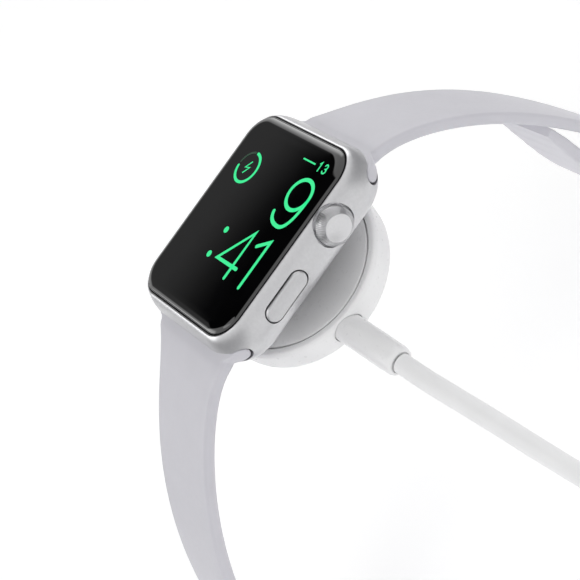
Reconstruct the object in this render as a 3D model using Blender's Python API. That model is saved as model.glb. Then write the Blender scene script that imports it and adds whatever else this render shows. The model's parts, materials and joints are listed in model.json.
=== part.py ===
"""Smartwatch with an open two-piece band, meeting its magnetic charging puck.

Lengths are in millimetres in the watch frame: X towards the crown, Y towards twelve o'clock,
Z out of the face, and zero in the middle of the plane where the glass meets the case.
The whole watch stands on its two strap ends, so an empty lifts that frame above the table.
"""
import bpy
import bmesh
import numpy as np
from math import cos, degrees, exp, pi, radians, sin, sqrt
from mathutils import Matrix, Vector

MM = 0.001
GAP = 0.3
STAND = (0.11, -1.66)

# Case
CASE_X = 33.3
CASE_Y = 40.1
CASE_CORNER = 7.0
CASE_WAIST_Z = -4.5
GLASS_INSET = 1.1
END_INSET = 1.85
OPENING_X = CASE_X / 2 - GLASS_INSET
OPENING_Y = CASE_Y / 2 - END_INSET
OPENING_CORNER = 5.0
FLANK = 1.5
BACK_RADIUS = 5.0
CAVITY_X = 14.6
CAVITY_Y = 14.6
LEDGE_Z = -1.7

# Crown and side button, on the +X side
CROWN_Y = 7.3
CROWN_Z = -3.6
CROWN_R = 3.42
CROWN_FACE_R = 2.35
CROWN_BASE_X = 15.9
CROWN_FACE_X = 18.4
RECESS_R = CROWN_R + 0.25
BUTTON_Y = -6.1
BUTTON_Z = -4.1
BUTTON_LENGTH = 9.4
BUTTON_WIDTH = 3.3
BUTTON_FACE_X = 16.8

# Band slots, lugs and straps
SLOT_Y = 17.75
SLOT_Z = -5.1
SLOT_R = 1.65
LUG_R = 1.35
LUG_HALF = 12.9
LUG_END_Y = 20.25
STRAP_T = 2.1
STRAP_TIP_HALF = 9.0
STRAP_END_TAPER = 9.0
TOP_STRAP = dict(side=1, start=(21.1, -6.3), angle=29.7, rate=1.235, ease=-0.00896,
                 root=2.1, decay=5.1, bend_end=62.0, length=84.0)
BOTTOM_STRAP = dict(side=-1, start=(21.0, -6.2), angle=28.2, rate=0.80, ease=-0.0011,
                    root=2.7, decay=4.5, bend_end=56.0, length=98.0)
HOLE_FIRST = 52.0
HOLE_PITCH = 7.0
HOLE_COUNT = 6
HOLE_R = 1.9
PIN_FROM_END = 9.0
LOOP_START = 36.0
LOOP_END = 81.0
LOOP_BOW = 5.6
LOOP_T = 2.4

# Band release buttons on the back
RELEASE_Y = 16.2
RELEASE_Z = -9.0
RELEASE_SLOPE = 0.42
STEM_Y = 16.8

# Charging puck, which rolls about the rounded lower edge of the case
HINGE = (BACK_RADIUS - CASE_X / 2, -1.0, CASE_WAIST_Z)
TILT = 15.0
PUCK_FACE = -5.28
PUCK_R = 16.75
PUCK_RIM_R = 16.2
PUCK_T = 6.2
PUCK_CENTRE = 11.92
COLLAR_Y = -3.0
COLLAR_Z = -3.1
COLLAR_R = 2.65
COLLAR_START = 14.9
COLLAR_END = 28.8

# Cord, and its spare length wound in two layers
CORD_D = 3.5
TURN_PITCH = 3.55
COIL_R = 19.25
COIL_TURNS = 7.25
COIL_EDGE = COIL_TURNS / 4 * TURN_PITCH
CORD_LANE = 6.0
COIL_CENTRE = (106.5, CORD_LANE - COIL_R - COIL_EDGE)
COIL_CLEAR = 14.4
PLUG_DROP = 20.9
PLUG_HEIGHT = 6.0

MATERIALS = {
    "aluminium": ((0.80, 0.80, 0.82), 0.32, 1.0),
    "glass_black": ((0.008, 0.008, 0.01), 0.04, 0.0),
    "seal_black": ((0.02, 0.02, 0.02), 0.6, 0.0),
    "back_plate": ((0.72, 0.72, 0.74), 0.35, 0.0),
    "back_lens": ((0.05, 0.05, 0.06), 0.08, 0.0),
    "board": ((0.03, 0.12, 0.07), 0.5, 0.0),
    "battery": ((0.06, 0.06, 0.07), 0.45, 0.0),
    "copper": ((0.85, 0.45, 0.25), 0.35, 1.0),
    "steel": ((0.62, 0.62, 0.64), 0.28, 1.0),
    "elastomer": ((0.70, 0.69, 0.73), 0.55, 0.0),
    "white_plastic": ((0.86, 0.86, 0.87), 0.35, 0.0),
    "cord_white": ((0.85, 0.85, 0.86), 0.45, 0.0),
    "magnet": ((0.45, 0.45, 0.47), 0.3, 1.0),
}


def clear_scene():
    for obj in list(bpy.data.objects):
        bpy.data.objects.remove(obj, do_unlink=True)


def material(name):
    found = bpy.data.materials.get(name)
    if found:
        return found
    colour, roughness, metallic = MATERIALS[name]
    made = bpy.data.materials.new(name)
    made.use_nodes = True
    shader = made.node_tree.nodes["Principled BSDF"]
    shader.inputs["Base Color"].default_value = (*colour, 1.0)
    shader.inputs["Roughness"].default_value = roughness
    shader.inputs["Metallic"].default_value = metallic
    return made


def empty(name, place, parent=None, turn_y=0.0):
    made = bpy.data.objects.new(name, None)
    bpy.context.collection.objects.link(made)
    made.parent = parent
    made.location = Vector(place) * MM
    made.rotation_euler = (0.0, radians(turn_y), 0.0)
    return made


def finish(name, bm, slot, axis, origin=(0.0, 0.0, 0.0), smooth=40.0):
    """Make an object from geometry in watch millimetres, with its origin on the empty's point."""
    bmesh.ops.remove_doubles(bm, verts=bm.verts, dist=1e-4)
    bmesh.ops.recalc_face_normals(bm, faces=bm.faces)
    for vert in bm.verts:
        vert.co = (vert.co - Vector(origin)) * MM
    mesh = bpy.data.meshes.new(name)
    bm.to_mesh(mesh)
    bm.free()
    mesh.shade_smooth()
    mesh.set_sharp_from_angle(angle=radians(smooth))
    mesh.materials.append(material(slot))
    obj = bpy.data.objects.new(name, mesh)
    bpy.context.collection.objects.link(obj)
    obj.parent = axis
    return obj


def cut(target, cutter):
    """Subtract a cutter, which stays in the file as a wire guide."""
    cutter.hide_render = True
    cutter.display_type = "WIRE"
    boolean = target.modifiers.new("cut_" + cutter.name, "BOOLEAN")
    boolean.operation = "DIFFERENCE"
    boolean.solver = "EXACT"
    boolean.object = cutter


def join(target, guide):
    """Merge a guide solid, which stays in the file as a wire, into a target."""
    guide.hide_render = True
    guide.display_type = "WIRE"
    boolean = target.modifiers.new("join_" + guide.name, "BOOLEAN")
    boolean.operation = "UNION"
    boolean.solver = "EXACT"
    boolean.object = guide


def rounded_ring(half_x, half_y, radius, z, seg=6):
    """Points of a rounded rectangle at one height, anticlockwise."""
    points = []
    for quarter in range(4):
        sx = (1, -1, -1, 1)[quarter]
        sy = (1, 1, -1, -1)[quarter]
        for i in range(seg + 1):
            a = radians(90 * quarter + 90 * i / seg)
            points.append((sx * (half_x - radius) + radius * cos(a),
                           sy * (half_y - radius) + radius * sin(a), z))
    return points


def loft(rings, loop=False):
    """Join rings with equal point counts; a loop closes on itself, otherwise the ends are capped."""
    bm = bmesh.new()
    rows = [[bm.verts.new(p) for p in ring] for ring in rings]
    count = len(rows[0])
    pairs = list(zip(rows, rows[1:] + rows[:1])) if loop else list(zip(rows, rows[1:]))
    for low, high in pairs:
        for i in range(count):
            j = (i + 1) % count
            bm.faces.new((low[i], low[j], high[j], high[i]))
    if not loop:
        bm.faces.new(rows[0][::-1])
        bm.faces.new(rows[-1])
    return bm


def turned(profile, steps=32, loop=False):
    """Turn a (radius, z) profile about Z; a profile that starts and ends on the axis is solid."""
    bm = bmesh.new()
    rows = []
    for radius, z in profile:
        if radius < 1e-6:
            rows.append([bm.verts.new((0, 0, z))])
        else:
            turns = [2 * pi * i / steps for i in range(steps)]
            rows.append([bm.verts.new((radius * cos(a), radius * sin(a), z)) for a in turns])
    pairs = list(zip(rows, rows[1:] + rows[:1])) if loop else list(zip(rows, rows[1:]))
    for low, high in pairs:
        if len(low) == 1 and len(high) == 1:
            continue
        for i in range(steps):
            j = (i + 1) % steps
            if len(low) == 1:
                bm.faces.new((low[0], high[j], high[i]))
            elif len(high) == 1:
                bm.faces.new((low[i], low[j], high[0]))
            else:
                bm.faces.new((low[i], low[j], high[j], high[i]))
    return bm


def disc(radius, z_low, z_high, steps=32, inner=0.0):
    if inner > 0:
        profile = [(inner, z_low), (radius, z_low), (radius, z_high), (inner, z_high)]
        return turned(profile, steps, loop=True)
    return turned([(0, z_low), (radius, z_low), (radius, z_high), (0, z_high)], steps)


def along_x(bm, x, y, z):
    """Turn a solid made about Z to lie about X, with its zero at the given point."""
    turn = Matrix.Rotation(radians(90), 4, "Y")
    bmesh.ops.transform(bm, verts=bm.verts, matrix=Matrix.Translation((x, y, z)) @ turn)
    return bm


def shifted(bm, x, y, z):
    bmesh.ops.transform(bm, verts=bm.verts, matrix=Matrix.Translation((x, y, z)))
    return bm


def block(centre, size, radius=0.4, seg=2):
    cx, cy, cz = centre
    sx, sy, sz = size
    rings = [rounded_ring(sx / 2, sy / 2, radius, z, seg) for z in (-sz / 2, sz / 2)]
    return shifted(loft(rings), cx, cy, cz)


def pill_ring(length, width, x, seg=8):
    """Stadium outline in the YZ plane at one x, long along Y."""
    radius = width / 2
    points = []
    for end in (1, -1):
        for i in range(seg + 1):
            a = radians(-90 + 180 * i / seg) if end == 1 else radians(90 + 180 * i / seg)
            points.append((x, end * (length / 2 - radius) + radius * cos(a), radius * sin(a)))
    return points


# ---------------------------------------------------------------- case

def case_section(z):
    """Half sizes and corner radius of the case outside at one height."""
    if z > CASE_WAIST_Z:
        rise = 1 - z / CASE_WAIST_Z
        part = 1 - max(0.0, 1 - rise ** FLANK) ** (1 / FLANK)
        corner = CASE_CORNER + (OPENING_CORNER - CASE_CORNER) * part
        return CASE_X / 2 - GLASS_INSET * part, CASE_Y / 2 - END_INSET * part, corner
    inset = BACK_RADIUS - sqrt(max(0.0, BACK_RADIUS ** 2 - (CASE_WAIST_Z - z) ** 2))
    return CASE_X / 2 - inset, CASE_Y / 2 - inset, CASE_CORNER - inset * 0.75


def case_ring(z):
    half_x, half_y, radius = case_section(z)
    return rounded_ring(half_x, half_y, radius, z)


def case_bmesh():
    heights = [0.0, -0.12, -0.6, -1.5, -3.0, -4.5, -6.0, -7.3, -8.4, -9.1, -9.42, -9.5]
    rings = [case_ring(z) for z in heights]
    back_x, back_y = 11.0, 13.6
    rings.append(rounded_ring(back_x, back_y, 4.0, -9.5))
    rings.append(rounded_ring(back_x, back_y, 4.0, -8.9))
    rings.append(rounded_ring(back_x - 1.0, back_y - 1.0, 3.4, -8.9))
    rings.append(rounded_ring(back_x - 1.0, back_y - 1.0, 3.4, -8.3))
    rings.append(rounded_ring(12.4, CAVITY_Y - 0.2, 4.0, -8.0))
    rings.append(rounded_ring(CAVITY_X, CAVITY_Y, 4.6, -6.0))
    rings.append(rounded_ring(CAVITY_X, CAVITY_Y, 4.6, LEDGE_Z - 0.9))
    rings.append(rounded_ring(CAVITY_X - 0.2, 16.6, 5.4, LEDGE_Z))
    rings.append(rounded_ring(OPENING_X - 0.15, OPENING_Y - 0.15, OPENING_CORNER - 0.15, LEDGE_Z))
    rings.append(rounded_ring(OPENING_X - 0.1, OPENING_Y - 0.1, OPENING_CORNER - 0.1, -0.05))
    return loft(rings, loop=True)


def slot_cutter(side):
    """Channel for a band lug: round inside, opening outwards through the end of the case."""
    points = []
    for i in range(11):
        a = radians(68 + 224 * i / 10)
        points.append((SLOT_Y + SLOT_R * cos(a), SLOT_Z + SLOT_R * sin(a)))
    points += [(23.0, -7.9), (23.0, -1.9)]
    return loft([[(x, side * y, z) for y, z in points] for x in (-20.0, 20.0)])


def make_case(datum):
    case = finish("case_body", case_bmesh(), "aluminium", datum, smooth=32)
    for side, word in ((1, "top"), (-1, "bottom")):
        cut(case, finish("slot_" + word, slot_cutter(side), "aluminium", datum))
        pocket = shifted(loft([rounded_ring(3.3, 1.2, 1.19, -10.0), rounded_ring(3.3, 1.2, 1.19, -7.7)]),
                         0, side * RELEASE_Y, 0)
        cut(case, finish("release_pocket_" + word, pocket, "aluminium", datum))
        bore = shifted(disc(0.55, -8.2, -6.0, 16), 0, side * STEM_Y, 0)
        cut(case, finish("release_bore_" + word, bore, "aluminium", datum))
    recess = along_x(disc(RECESS_R, 0, 4, 40), CROWN_BASE_X - GAP, CROWN_Y, CROWN_Z)
    cut(case, finish("crown_recess", recess, "aluminium", datum))
    bore = along_x(disc(1.5, -4, 3, 24), CROWN_BASE_X - GAP, CROWN_Y, CROWN_Z)
    cut(case, finish("crown_bore", bore, "aluminium", datum))
    long, wide = BUTTON_LENGTH + 0.36, BUTTON_WIDTH + 0.36
    pocket = shifted(loft([pill_ring(long, wide, 15.0), pill_ring(long, wide, 19.0)]), 0, BUTTON_Y, BUTTON_Z)
    cut(case, finish("button_pocket", pocket, "aluminium", datum))
    for i, y in enumerate((-1.0, 1.0)):
        bore = along_x(disc(0.6, -4, 3, 12), 15.0, BUTTON_Y + 2.6 * y, BUTTON_Z)
        cut(case, finish("button_bore_%d" % i, bore, "aluminium", datum))
    for i, y in enumerate((5.2, -0.4)):
        slot = shifted(loft([pill_ring(4.4, 0.9, -20.0, 4), pill_ring(4.4, 0.9, -13.0, 4)]), 0, y, -5.4)
        cut(case, finish("speaker_slot_%d" % i, slot, "aluminium", datum))
    hole = along_x(disc(0.45, -20, -13, 12), 0, -6.4, -5.4)
    cut(case, finish("microphone_hole", hole, "aluminium", datum))
    return case


def make_face(datum):
    """Domed cover glass, its gasket and the display under it."""
    half_x, half_y, corner = OPENING_X - 0.55, OPENING_Y - 0.55, OPENING_CORNER - 0.45
    rings = []
    for inset, z in ((0.5, -1.25), (0.0, -1.15), (0.0, -0.15), (0.06, 0.08), (0.28, 0.36), (0.75, 0.62),
                     (1.6, 0.82), (3.0, 0.92)):
        rings.append(rounded_ring(half_x - inset, half_y - inset, corner - inset * 0.8, z))
    finish("cover_glass", loft(rings), "glass_black", datum, smooth=50)
    rings = [rounded_ring(half_x + grow, half_y + grow, corner + grow, z)
             for grow, z in ((0.1, -0.1), (0.28, -0.1), (0.28, -1.55), (-0.6, -1.55), (-0.6, -1.35),
                             (0.1, -1.35))]
    finish("glass_gasket", loft(rings, loop=True), "seal_black", datum)
    finish("display_panel", block((0, 0, -2.25), (24.4, 28.4, 0.9), 3.0, 4), "glass_black", datum)


def make_back(datum):
    ring = [rounded_ring(hx, hy, 3.6, z, 6) for hx, hy, z in
            ((10.7, 13.3, -9.45), (10.7, 13.3, -9.2), (9.85, 12.45, -9.1))]
    plate = finish("back_cover", loft(ring), "back_plate", datum)
    cut(plate, finish("back_window", disc(8.6, -12, -5, 40), "back_plate", datum))
    dome = [(0, -10.55)]
    dome += [(8.3 * i / 6, -10.55 + 0.75 * (i / 6) ** 2) for i in range(1, 7)]
    dome += [(8.3, -9.3), (0, -9.3)]
    finish("back_crystal", turned(dome, 40), "back_lens", datum)
    for i in range(4):
        a = radians(45 + 90 * i)
        lens = shifted(disc(1.3, -9.1, -8.75, 16), 3.2 * cos(a), 3.2 * sin(a), 0)
        finish("sensor_diode_%d" % (i + 1), lens, "back_lens", datum)
    finish("sensor_board", disc(7.4, -8.55, -8.15, 24), "board", datum)
    finish("receiver_coil", disc(7.6, -7.95, -7.35, 32, inner=4.9), "copper", datum)
    finish("dock_magnet", disc(1.4, -7.95, -7.25, 20), "magnet", datum)


def make_inside(datum):
    finish("battery", block((-1.6, -4.6, -5.1), (22.0, 16.0, 3.4), 1.2, 3), "battery", datum)
    finish("logic_board", block((-1.6, 9.2, -6.0), (20.0, 9.4, 1.0), 1.0, 3), "board", datum)
    finish("haptic_motor", block((-3.4, 9.2, -4.1), (16.0, 6.4, 2.0), 0.8, 2), "steel", datum)
    finish("speaker_module", block((-13.35, 2.4, -4.4), (1.1, 11.0, 2.6), 0.3, 2), "seal_black", datum)
    finish("microphone", block((-13.3, -6.4, -4.9), (1.1, 2.6, 1.6), 0.3, 2), "steel", datum)


def make_crown(datum, press_axis, spin_axis):
    """Crown, shaft and encoder drum turn together and push the plunger onto the switch."""
    centre = (CROWN_BASE_X, CROWN_Y, CROWN_Z)
    reach = CROWN_FACE_X - CROWN_BASE_X
    cap = [(0, 0), (1.9, 0), (CROWN_R - 0.15, 0), (CROWN_R, 0.15), (CROWN_R, 0.75), (CROWN_R - 0.08, 1.2),
           (CROWN_R - 0.32, 1.75), (CROWN_R - 0.68, 2.2), (CROWN_FACE_R, reach - 0.1)]
    cap += [(CROWN_FACE_R - 0.12, reach), (1.6, reach + 0.1), (0.8, reach + 0.15), (0, reach + 0.17)]
    finish("crown_cap", along_x(turned(cap, 48), *centre), "aluminium", spin_axis, centre, smooth=25)
    shaft = along_x(disc(0.75, -3.1, -GAP, 20), *centre)
    finish("crown_shaft", shaft, "steel", spin_axis, centre)
    drum = along_x(disc(1.6, -3.1, -2.1, 24, inner=0.8), *centre)
    finish("crown_drum", drum, "steel", spin_axis, centre)
    plunger = along_x(disc(0.7, -4.0, -3.35, 16), *centre)
    finish("crown_plunger", plunger, "steel", press_axis, centre)
    bush = along_x(disc(1.42, -1.95, -0.75, 24, inner=0.82), *centre)
    finish("crown_bush", bush, "steel", datum)
    seal = [(1.12 + 0.2 * cos(2 * pi * i / 8), -0.54 + 0.14 * sin(2 * pi * i / 8)) for i in range(8)]
    finish("crown_seal", along_x(turned(seal, 24, loop=True), *centre), "seal_black", datum)
    switch = block((CROWN_BASE_X - 5.05, CROWN_Y, CROWN_Z - 0.2), (1.0, 2.4, 1.6), 0.2, 2)
    finish("crown_switch", switch, "seal_black", datum)


def make_button(datum, axis):
    centre = (BUTTON_FACE_X, BUTTON_Y, BUTTON_Z)
    rings = []
    for inset, x in ((0.3, -1.35), (0.0, -1.3), (0.0, -0.3), (0.1, -0.12), (0.32, 0.0), (0.8, 0.06)):
        rings.append(pill_ring(BUTTON_LENGTH - 2 * inset, BUTTON_WIDTH - 2 * inset, x))
    finish("side_button", shifted(loft(rings), *centre), "aluminium", axis, centre, smooth=30)
    for i, y in enumerate((-1.0, 1.0)):
        stem = along_x(disc(0.4, -3.1, -1.65, 12), BUTTON_FACE_X, BUTTON_Y + 2.6 * y, BUTTON_Z)
        finish("button_stem_%d" % (i + 1), stem, "steel", axis, centre)
    switch = block((12.7, BUTTON_Y, BUTTON_Z), (0.8, 7.0, 1.8), 0.2, 2)
    finish("button_switch", switch, "seal_black", datum)


def coil_spring(radius, wire, z_low, z_high, turns, sides=5, per_turn=10):
    """Helical wire of few sides with flat capped ends."""
    rings = []
    steps = int(turns * per_turn)
    climb = (z_high - z_low - 2 * wire) / (2 * pi * turns)
    for i in range(steps + 1):
        a = 2 * pi * turns * i / steps
        centre = Vector((radius * cos(a), radius * sin(a), z_low + wire + climb * a))
        outward = Vector((cos(a), sin(a), 0))
        along = Vector((-radius * sin(a), radius * cos(a), climb)).normalized()
        up = along.cross(outward)
        rings.append([tuple(centre + outward * wire * cos(2 * pi * k / sides)
                            + up * wire * sin(2 * pi * k / sides))
                      for k in range(sides)])
    return loft(rings)


def make_release(datum, axis, side, word):
    """Push button on the back that reaches up to one band lug's latch, with its return spring."""
    origin = (0, side * RELEASE_Y, RELEASE_Z)
    rings = [rounded_ring(3.0 - inset, 0.95 - inset, 0.93 - inset, z, 5)
             for inset, z in ((0.0, 0.3), (0.0, -0.05), (0.15, -0.18))]
    head = [[(x, side * (RELEASE_Y + y), RELEASE_Z + z + RELEASE_SLOPE * y) for x, y, z in ring]
            for ring in rings]
    button = finish("release_button_" + word, loft(head), "steel", axis, origin)
    stem = shifted(disc(0.28, RELEASE_Z, -6.7, 12), 0, side * STEM_Y, 0)
    join(button, finish("release_stem_" + word, stem, "steel", axis, origin))
    spring = shifted(coil_spring(0.45, 0.08, -8.5, -7.75, 2.5), 1.7, side * (RELEASE_Y - 0.1), 0)
    finish("release_spring_" + word, spring, "steel", datum)


# ---------------------------------------------------------------- band

def bend_path(strap, step=1.0):
    """Stations (s, y, z, angle) of a strap's centre line, angle below the horizontal."""
    y, z = strap["start"]
    stations = []
    count = int(round(strap["length"] / step))
    for i in range(count + 1):
        s = i * step
        angle = strap_angle(strap, s)
        stations.append((s, y, z, angle))
        middle = strap_angle(strap, s + step / 2)
        y += step * cos(radians(middle))
        z -= step * sin(radians(middle))
    return stations


def strap_angle(strap, s):
    """The moulded bend up to its end; then the short strap runs straight, the long one curls."""
    bent = min(s, strap["bend_end"])
    angle = strap["angle"] + strap["rate"] * bent + strap["ease"] * bent * bent
    if s > strap["bend_end"] and "curl" in strap:
        angle = min(180.0, angle + degrees((s - strap["bend_end"]) / strap["curl"]))
    return angle


def strap_half_width(strap, s):
    half = STRAP_TIP_HALF + strap["root"] * exp(-s / strap["decay"])
    left = strap["length"] - s
    if left < STRAP_END_TAPER:
        half *= sqrt(max(0.0, 1 - (1 - left / STRAP_END_TAPER) ** 2)) * 0.94 + 0.06
    return half


def strap_section(half, thick, seg=2):
    """Rounded flat section as (x, offset along the outward normal)."""
    radius = min(0.8, thick * 0.42, half * 0.9)
    return [(x, n) for x, n, _ in rounded_ring(half, thick / 2, radius, 0, seg)]


def strap_sweep(strap, stations, offset=lambda s: 0.0, thick=STRAP_T):
    rings = []
    for s, y, z, angle in stations:
        a = radians(angle)
        shift = offset(s)
        cy, cz = y - shift * sin(a), z - shift * cos(a)
        rings.append([(x, strap["side"] * (cy + n * sin(a)), cz + n * cos(a))
                      for x, n in strap_section(strap_half_width(strap, s), thick)])
    return loft(rings)


def floor_height():
    """Depth of the table below the glass plane, where the short strap's tip stands."""
    s, y, z, angle = bend_path(TOP_STRAP)[-1]
    return -(z - cos(radians(angle)) * STRAP_T / 2)


def set_curl():
    """Radius that brings the long strap down to lie flat on the table."""
    start = [row for row in bend_path(BOTTOM_STRAP, 0.5) if row[0] <= BOTTOM_STRAP["bend_end"]][-1]
    drop = start[2] + floor_height() - STRAP_T / 2
    BOTTOM_STRAP["curl"] = drop / (cos(radians(start[3])) + 1)


def thinned(stations, end_taper):
    """Keep few stations on the plain run and all of them where the tip rounds off."""
    last = stations[-1][0]
    return [row for i, row in enumerate(stations) if i % 3 == 0 or last - row[0] <= end_taper]


def make_lug(strap, word, axis, origin):
    side = strap["side"]
    points = []
    for i in range(11):
        a = radians(70 + 220 * i / 10)
        points.append((SLOT_Y + LUG_R * cos(a), SLOT_Z + LUG_R * sin(a)))
    points += [(LUG_END_Y, -7.15), (LUG_END_Y, -4.95), (LUG_END_Y - 0.8, -3.9)]
    rings = []
    for inset, x in ((0.6, -LUG_HALF), (0.15, -LUG_HALF + 0.25), (0.0, -LUG_HALF + 0.8),
                     (0.0, LUG_HALF - 0.8), (0.15, LUG_HALF - 0.25), (0.6, LUG_HALF)):
        mid_y, mid_z = 18.6, -5.3
        scale = 1 - inset / 1.6
        rings.append([(x, side * (mid_y + (y - mid_y) * scale), mid_z + (z - mid_z) * scale)
                      for y, z in points])
    lug = finish("lug_" + word, loft(rings), "elastomer", axis, origin)
    pocket = shifted(disc(0.6, -8.0, -4.2, 16), 0, side * STEM_Y, 0)
    cut(lug, finish("latch_pocket_" + word, pocket, "elastomer", axis, origin))
    pin = shifted(disc(0.3, -5.75, -4.5, 12), 0, side * STEM_Y, 0)
    finish("lug_latch_" + word, pin, "steel", axis, origin)


def make_straps(axes):
    for strap, word in ((TOP_STRAP, "top"), (BOTTOM_STRAP, "bottom")):
        origin = hinge_point(strap)
        make_lug(strap, word, axes["lug_" + word], (0, strap["side"] * SLOT_Y, SLOT_Z))
        stations = thinned(bend_path(strap), STRAP_END_TAPER)
        bm = strap_sweep(strap, stations)
        body = finish("strap_" + word, bm, "elastomer", axes["strap_" + word], origin)
        if word == "bottom":
            for i in range(HOLE_COUNT):
                cut(body, hole_cutter(strap, HOLE_FIRST + HOLE_PITCH * i, i, axes["strap_bottom"], origin))
        else:
            make_pin(strap, body, axes["strap_top"], origin)
            make_tuck_loop(strap, axes["strap_top"], origin)


def hinge_point(strap):
    y, z = strap["start"]
    return (0, strap["side"] * y, z)


def station_at(strap, s):
    return min(bend_path(strap), key=lambda row: abs(row[0] - s))


def normal_matrix(strap, s):
    """Frame at a station whose Z runs along the outward normal of the strap."""
    _, y, z, angle = station_at(strap, s)
    side = strap["side"]
    normal = Vector((0, side * sin(radians(angle)), cos(radians(angle))))
    turn = Vector((0, 0, 1)).rotation_difference(normal).to_matrix().to_4x4()
    return Matrix.Translation((0, side * y, z)) @ turn


def hole_cutter(strap, s, index, axis, origin):
    bm = disc(HOLE_R, -4, 4, 16)
    twist = Matrix.Rotation(pi / 16, 4, "Z")
    bmesh.ops.transform(bm, verts=bm.verts, matrix=normal_matrix(strap, s) @ twist)
    return finish("strap_hole_%d" % index, bm, "elastomer", axis, origin)


def make_pin(strap, body, axis, origin):
    """Metal stud near the tip of the short strap, its head standing on the outer face."""
    s = strap["length"] - PIN_FROM_END
    profile = [(0, -0.3), (1.5, -0.3), (1.5, 1.9), (2.3, 2.2), (2.45, 2.6), (2.3, 3.0), (1.6, 3.2),
               (0, 3.25)]
    bm = turned(profile, 24)
    bmesh.ops.transform(bm, verts=bm.verts, matrix=normal_matrix(strap, s))
    finish("closure_pin", bm, "aluminium", axis, origin)
    bm = disc(1.8, -0.6, 4, 20)
    bmesh.ops.transform(bm, verts=bm.verts, matrix=normal_matrix(strap, s))
    cut(body, finish("pin_seat", bm, "elastomer", axis, origin))


def make_tuck_loop(strap, axis, origin):
    """Band bowed inwards from the short strap, under which the long strap's tail is tucked."""
    stations = [row for row in bend_path(strap) if LOOP_START <= row[0] <= LOOP_END]
    stations = [row for i, row in enumerate(stations) if i % 2 == 0]

    def rise(s):
        part = (s - LOOP_START) / (LOOP_END - LOOP_START)
        return (STRAP_T + LOOP_T) / 2 + GAP + LOOP_BOW * sin(pi * part) ** 1.25

    finish("tuck_loop", strap_sweep(strap, stations, rise, LOOP_T), "elastomer", axis, origin)


# ---------------------------------------------------------------- charger

def make_charger(axis):
    """Everything here is in the puck's own tilted frame, with its zero on the hinge."""
    cx, face = PUCK_CENTRE, PUCK_FACE
    cup = [(0, -PUCK_T), (13.6, -PUCK_T), (15.2, -PUCK_T + 0.25), (16.25, -PUCK_T + 0.9),
           (PUCK_R, -PUCK_T + 1.9), (PUCK_R, -1.1), (PUCK_R - 0.15, -0.5), (PUCK_RIM_R, -0.08), (PUCK_RIM_R - 0.35, 0.0),
           (15.35, -0.05), (15.2, -0.25), (15.2, -1.5), (14.5, -1.5), (14.5, -4.9), (0, -4.9)]
    bm = shifted(turned(cup, 56), cx, 0, face)
    housing = finish("charger_housing", bm, "white_plastic", axis, smooth=35)
    port = along_x(disc(COLLAR_R + 0.2, 12.0, 24.0, 24), cx, COLLAR_Y, face + COLLAR_Z)
    cut(housing, finish("collar_port", port, "white_plastic", axis))
    dish = [(0, -1.55), (4.0, -1.45), (8.0, -1.12), (11.5, -0.66), (13.6, -0.36), (14.6, -0.25),
            (14.9, -0.35), (14.9, -1.2), (14.2, -1.2), (14.2, -2.0), (8.0, -2.3), (0, -2.4)]
    finish("charger_dish", shifted(turned(dish, 56), cx, 0, face), "white_plastic", axis, smooth=35)
    finish("charger_coil", shifted(disc(10.4, -3.7, -2.75, 32, inner=6.2), cx, 0, face), "copper", axis)
    finish("charger_magnet", shifted(disc(5.0, -4.6, -2.8, 24), cx, 0, face), "magnet", axis)
    finish("charger_board", shifted(disc(10.6, -4.6, -4.05, 24, inner=5.6), cx, 0, face), "board", axis)
    sleeve = [(0, COLLAR_START), (COLLAR_R - 0.3, COLLAR_START), (COLLAR_R, COLLAR_START + 0.3),
              (COLLAR_R - 0.05, COLLAR_END - 3), (COLLAR_R - 0.1, COLLAR_END - 0.45),
              (COLLAR_R - 0.4, COLLAR_END), (0, COLLAR_END)]
    finish("cord_collar", along_x(turned(sleeve, 24), cx, COLLAR_Y, face + COLLAR_Z), "white_plastic", axis)


def puck_to_watch(x, y, z):
    """A point of the puck's frame in the watch frame, its height counted from the puck's face."""
    a = radians(TILT)
    z += PUCK_FACE
    return (HINGE[0] + x * cos(a) + z * sin(a), HINGE[1] + y, HINGE[2] - x * sin(a) + z * cos(a))


# ---------------------------------------------------------------- cord

def cord_route(floor):
    """Hand-set points from the collar's end down to the table and up to the coil."""
    rest = CORD_D / 2 + 0.05 - floor
    start = puck_to_watch(PUCK_CENTRE + COLLAR_END + GAP, COLLAR_Y, COLLAR_Z)
    second = puck_to_watch(PUCK_CENTRE + COLLAR_END + 6.0, COLLAR_Y, COLLAR_Z)
    return [start, second, (38.3, -3.7, -27.0), (45.0, -3.35, -30.0), (51.5, -3.0, -34.2),
            (57.5, -2.5, -39.4), (62.8, -1.8, -45.2), (67.6, -0.5, -51.4), (72.3, 1.2, -57.4),
            (77.2, 2.95, -62.8), (82.0, 4.45, rest + 3.3), (87.2, 5.6, rest + 0.55),
            (COIL_CENTRE[0] - COIL_CLEAR, CORD_LANE, rest)]


def smooth_points(route, spacing=4.0):
    """Catmull-Rom curve through a route, read at an even spacing."""
    points = [Vector(p) for p in route]
    padded = [points[0] * 2 - points[1]] + points + [points[-1] * 2 - points[-2]]
    dense = []
    for a, b, c, d in zip(padded, padded[1:], padded[2:], padded[3:]):
        for i in range(16):
            t = i / 16
            dense.append(0.5 * (2 * b + (c - a) * t + (2 * a - 5 * b + 4 * c - d) * t ** 2
                                + (3 * b - a - 3 * c + d) * t ** 3))
    dense.append(points[-1])
    lengths = np.concatenate([[0], np.cumsum([(q - p).length for p, q in zip(dense, dense[1:])])])
    count = max(2, int(round(lengths[-1] / spacing)))
    wanted = np.linspace(0, lengths[-1], count + 1)
    columns = [np.interp(wanted, lengths, [p[k] for p in dense]) for k in range(3)]
    return [Vector(p) for p in zip(*columns)]


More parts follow.
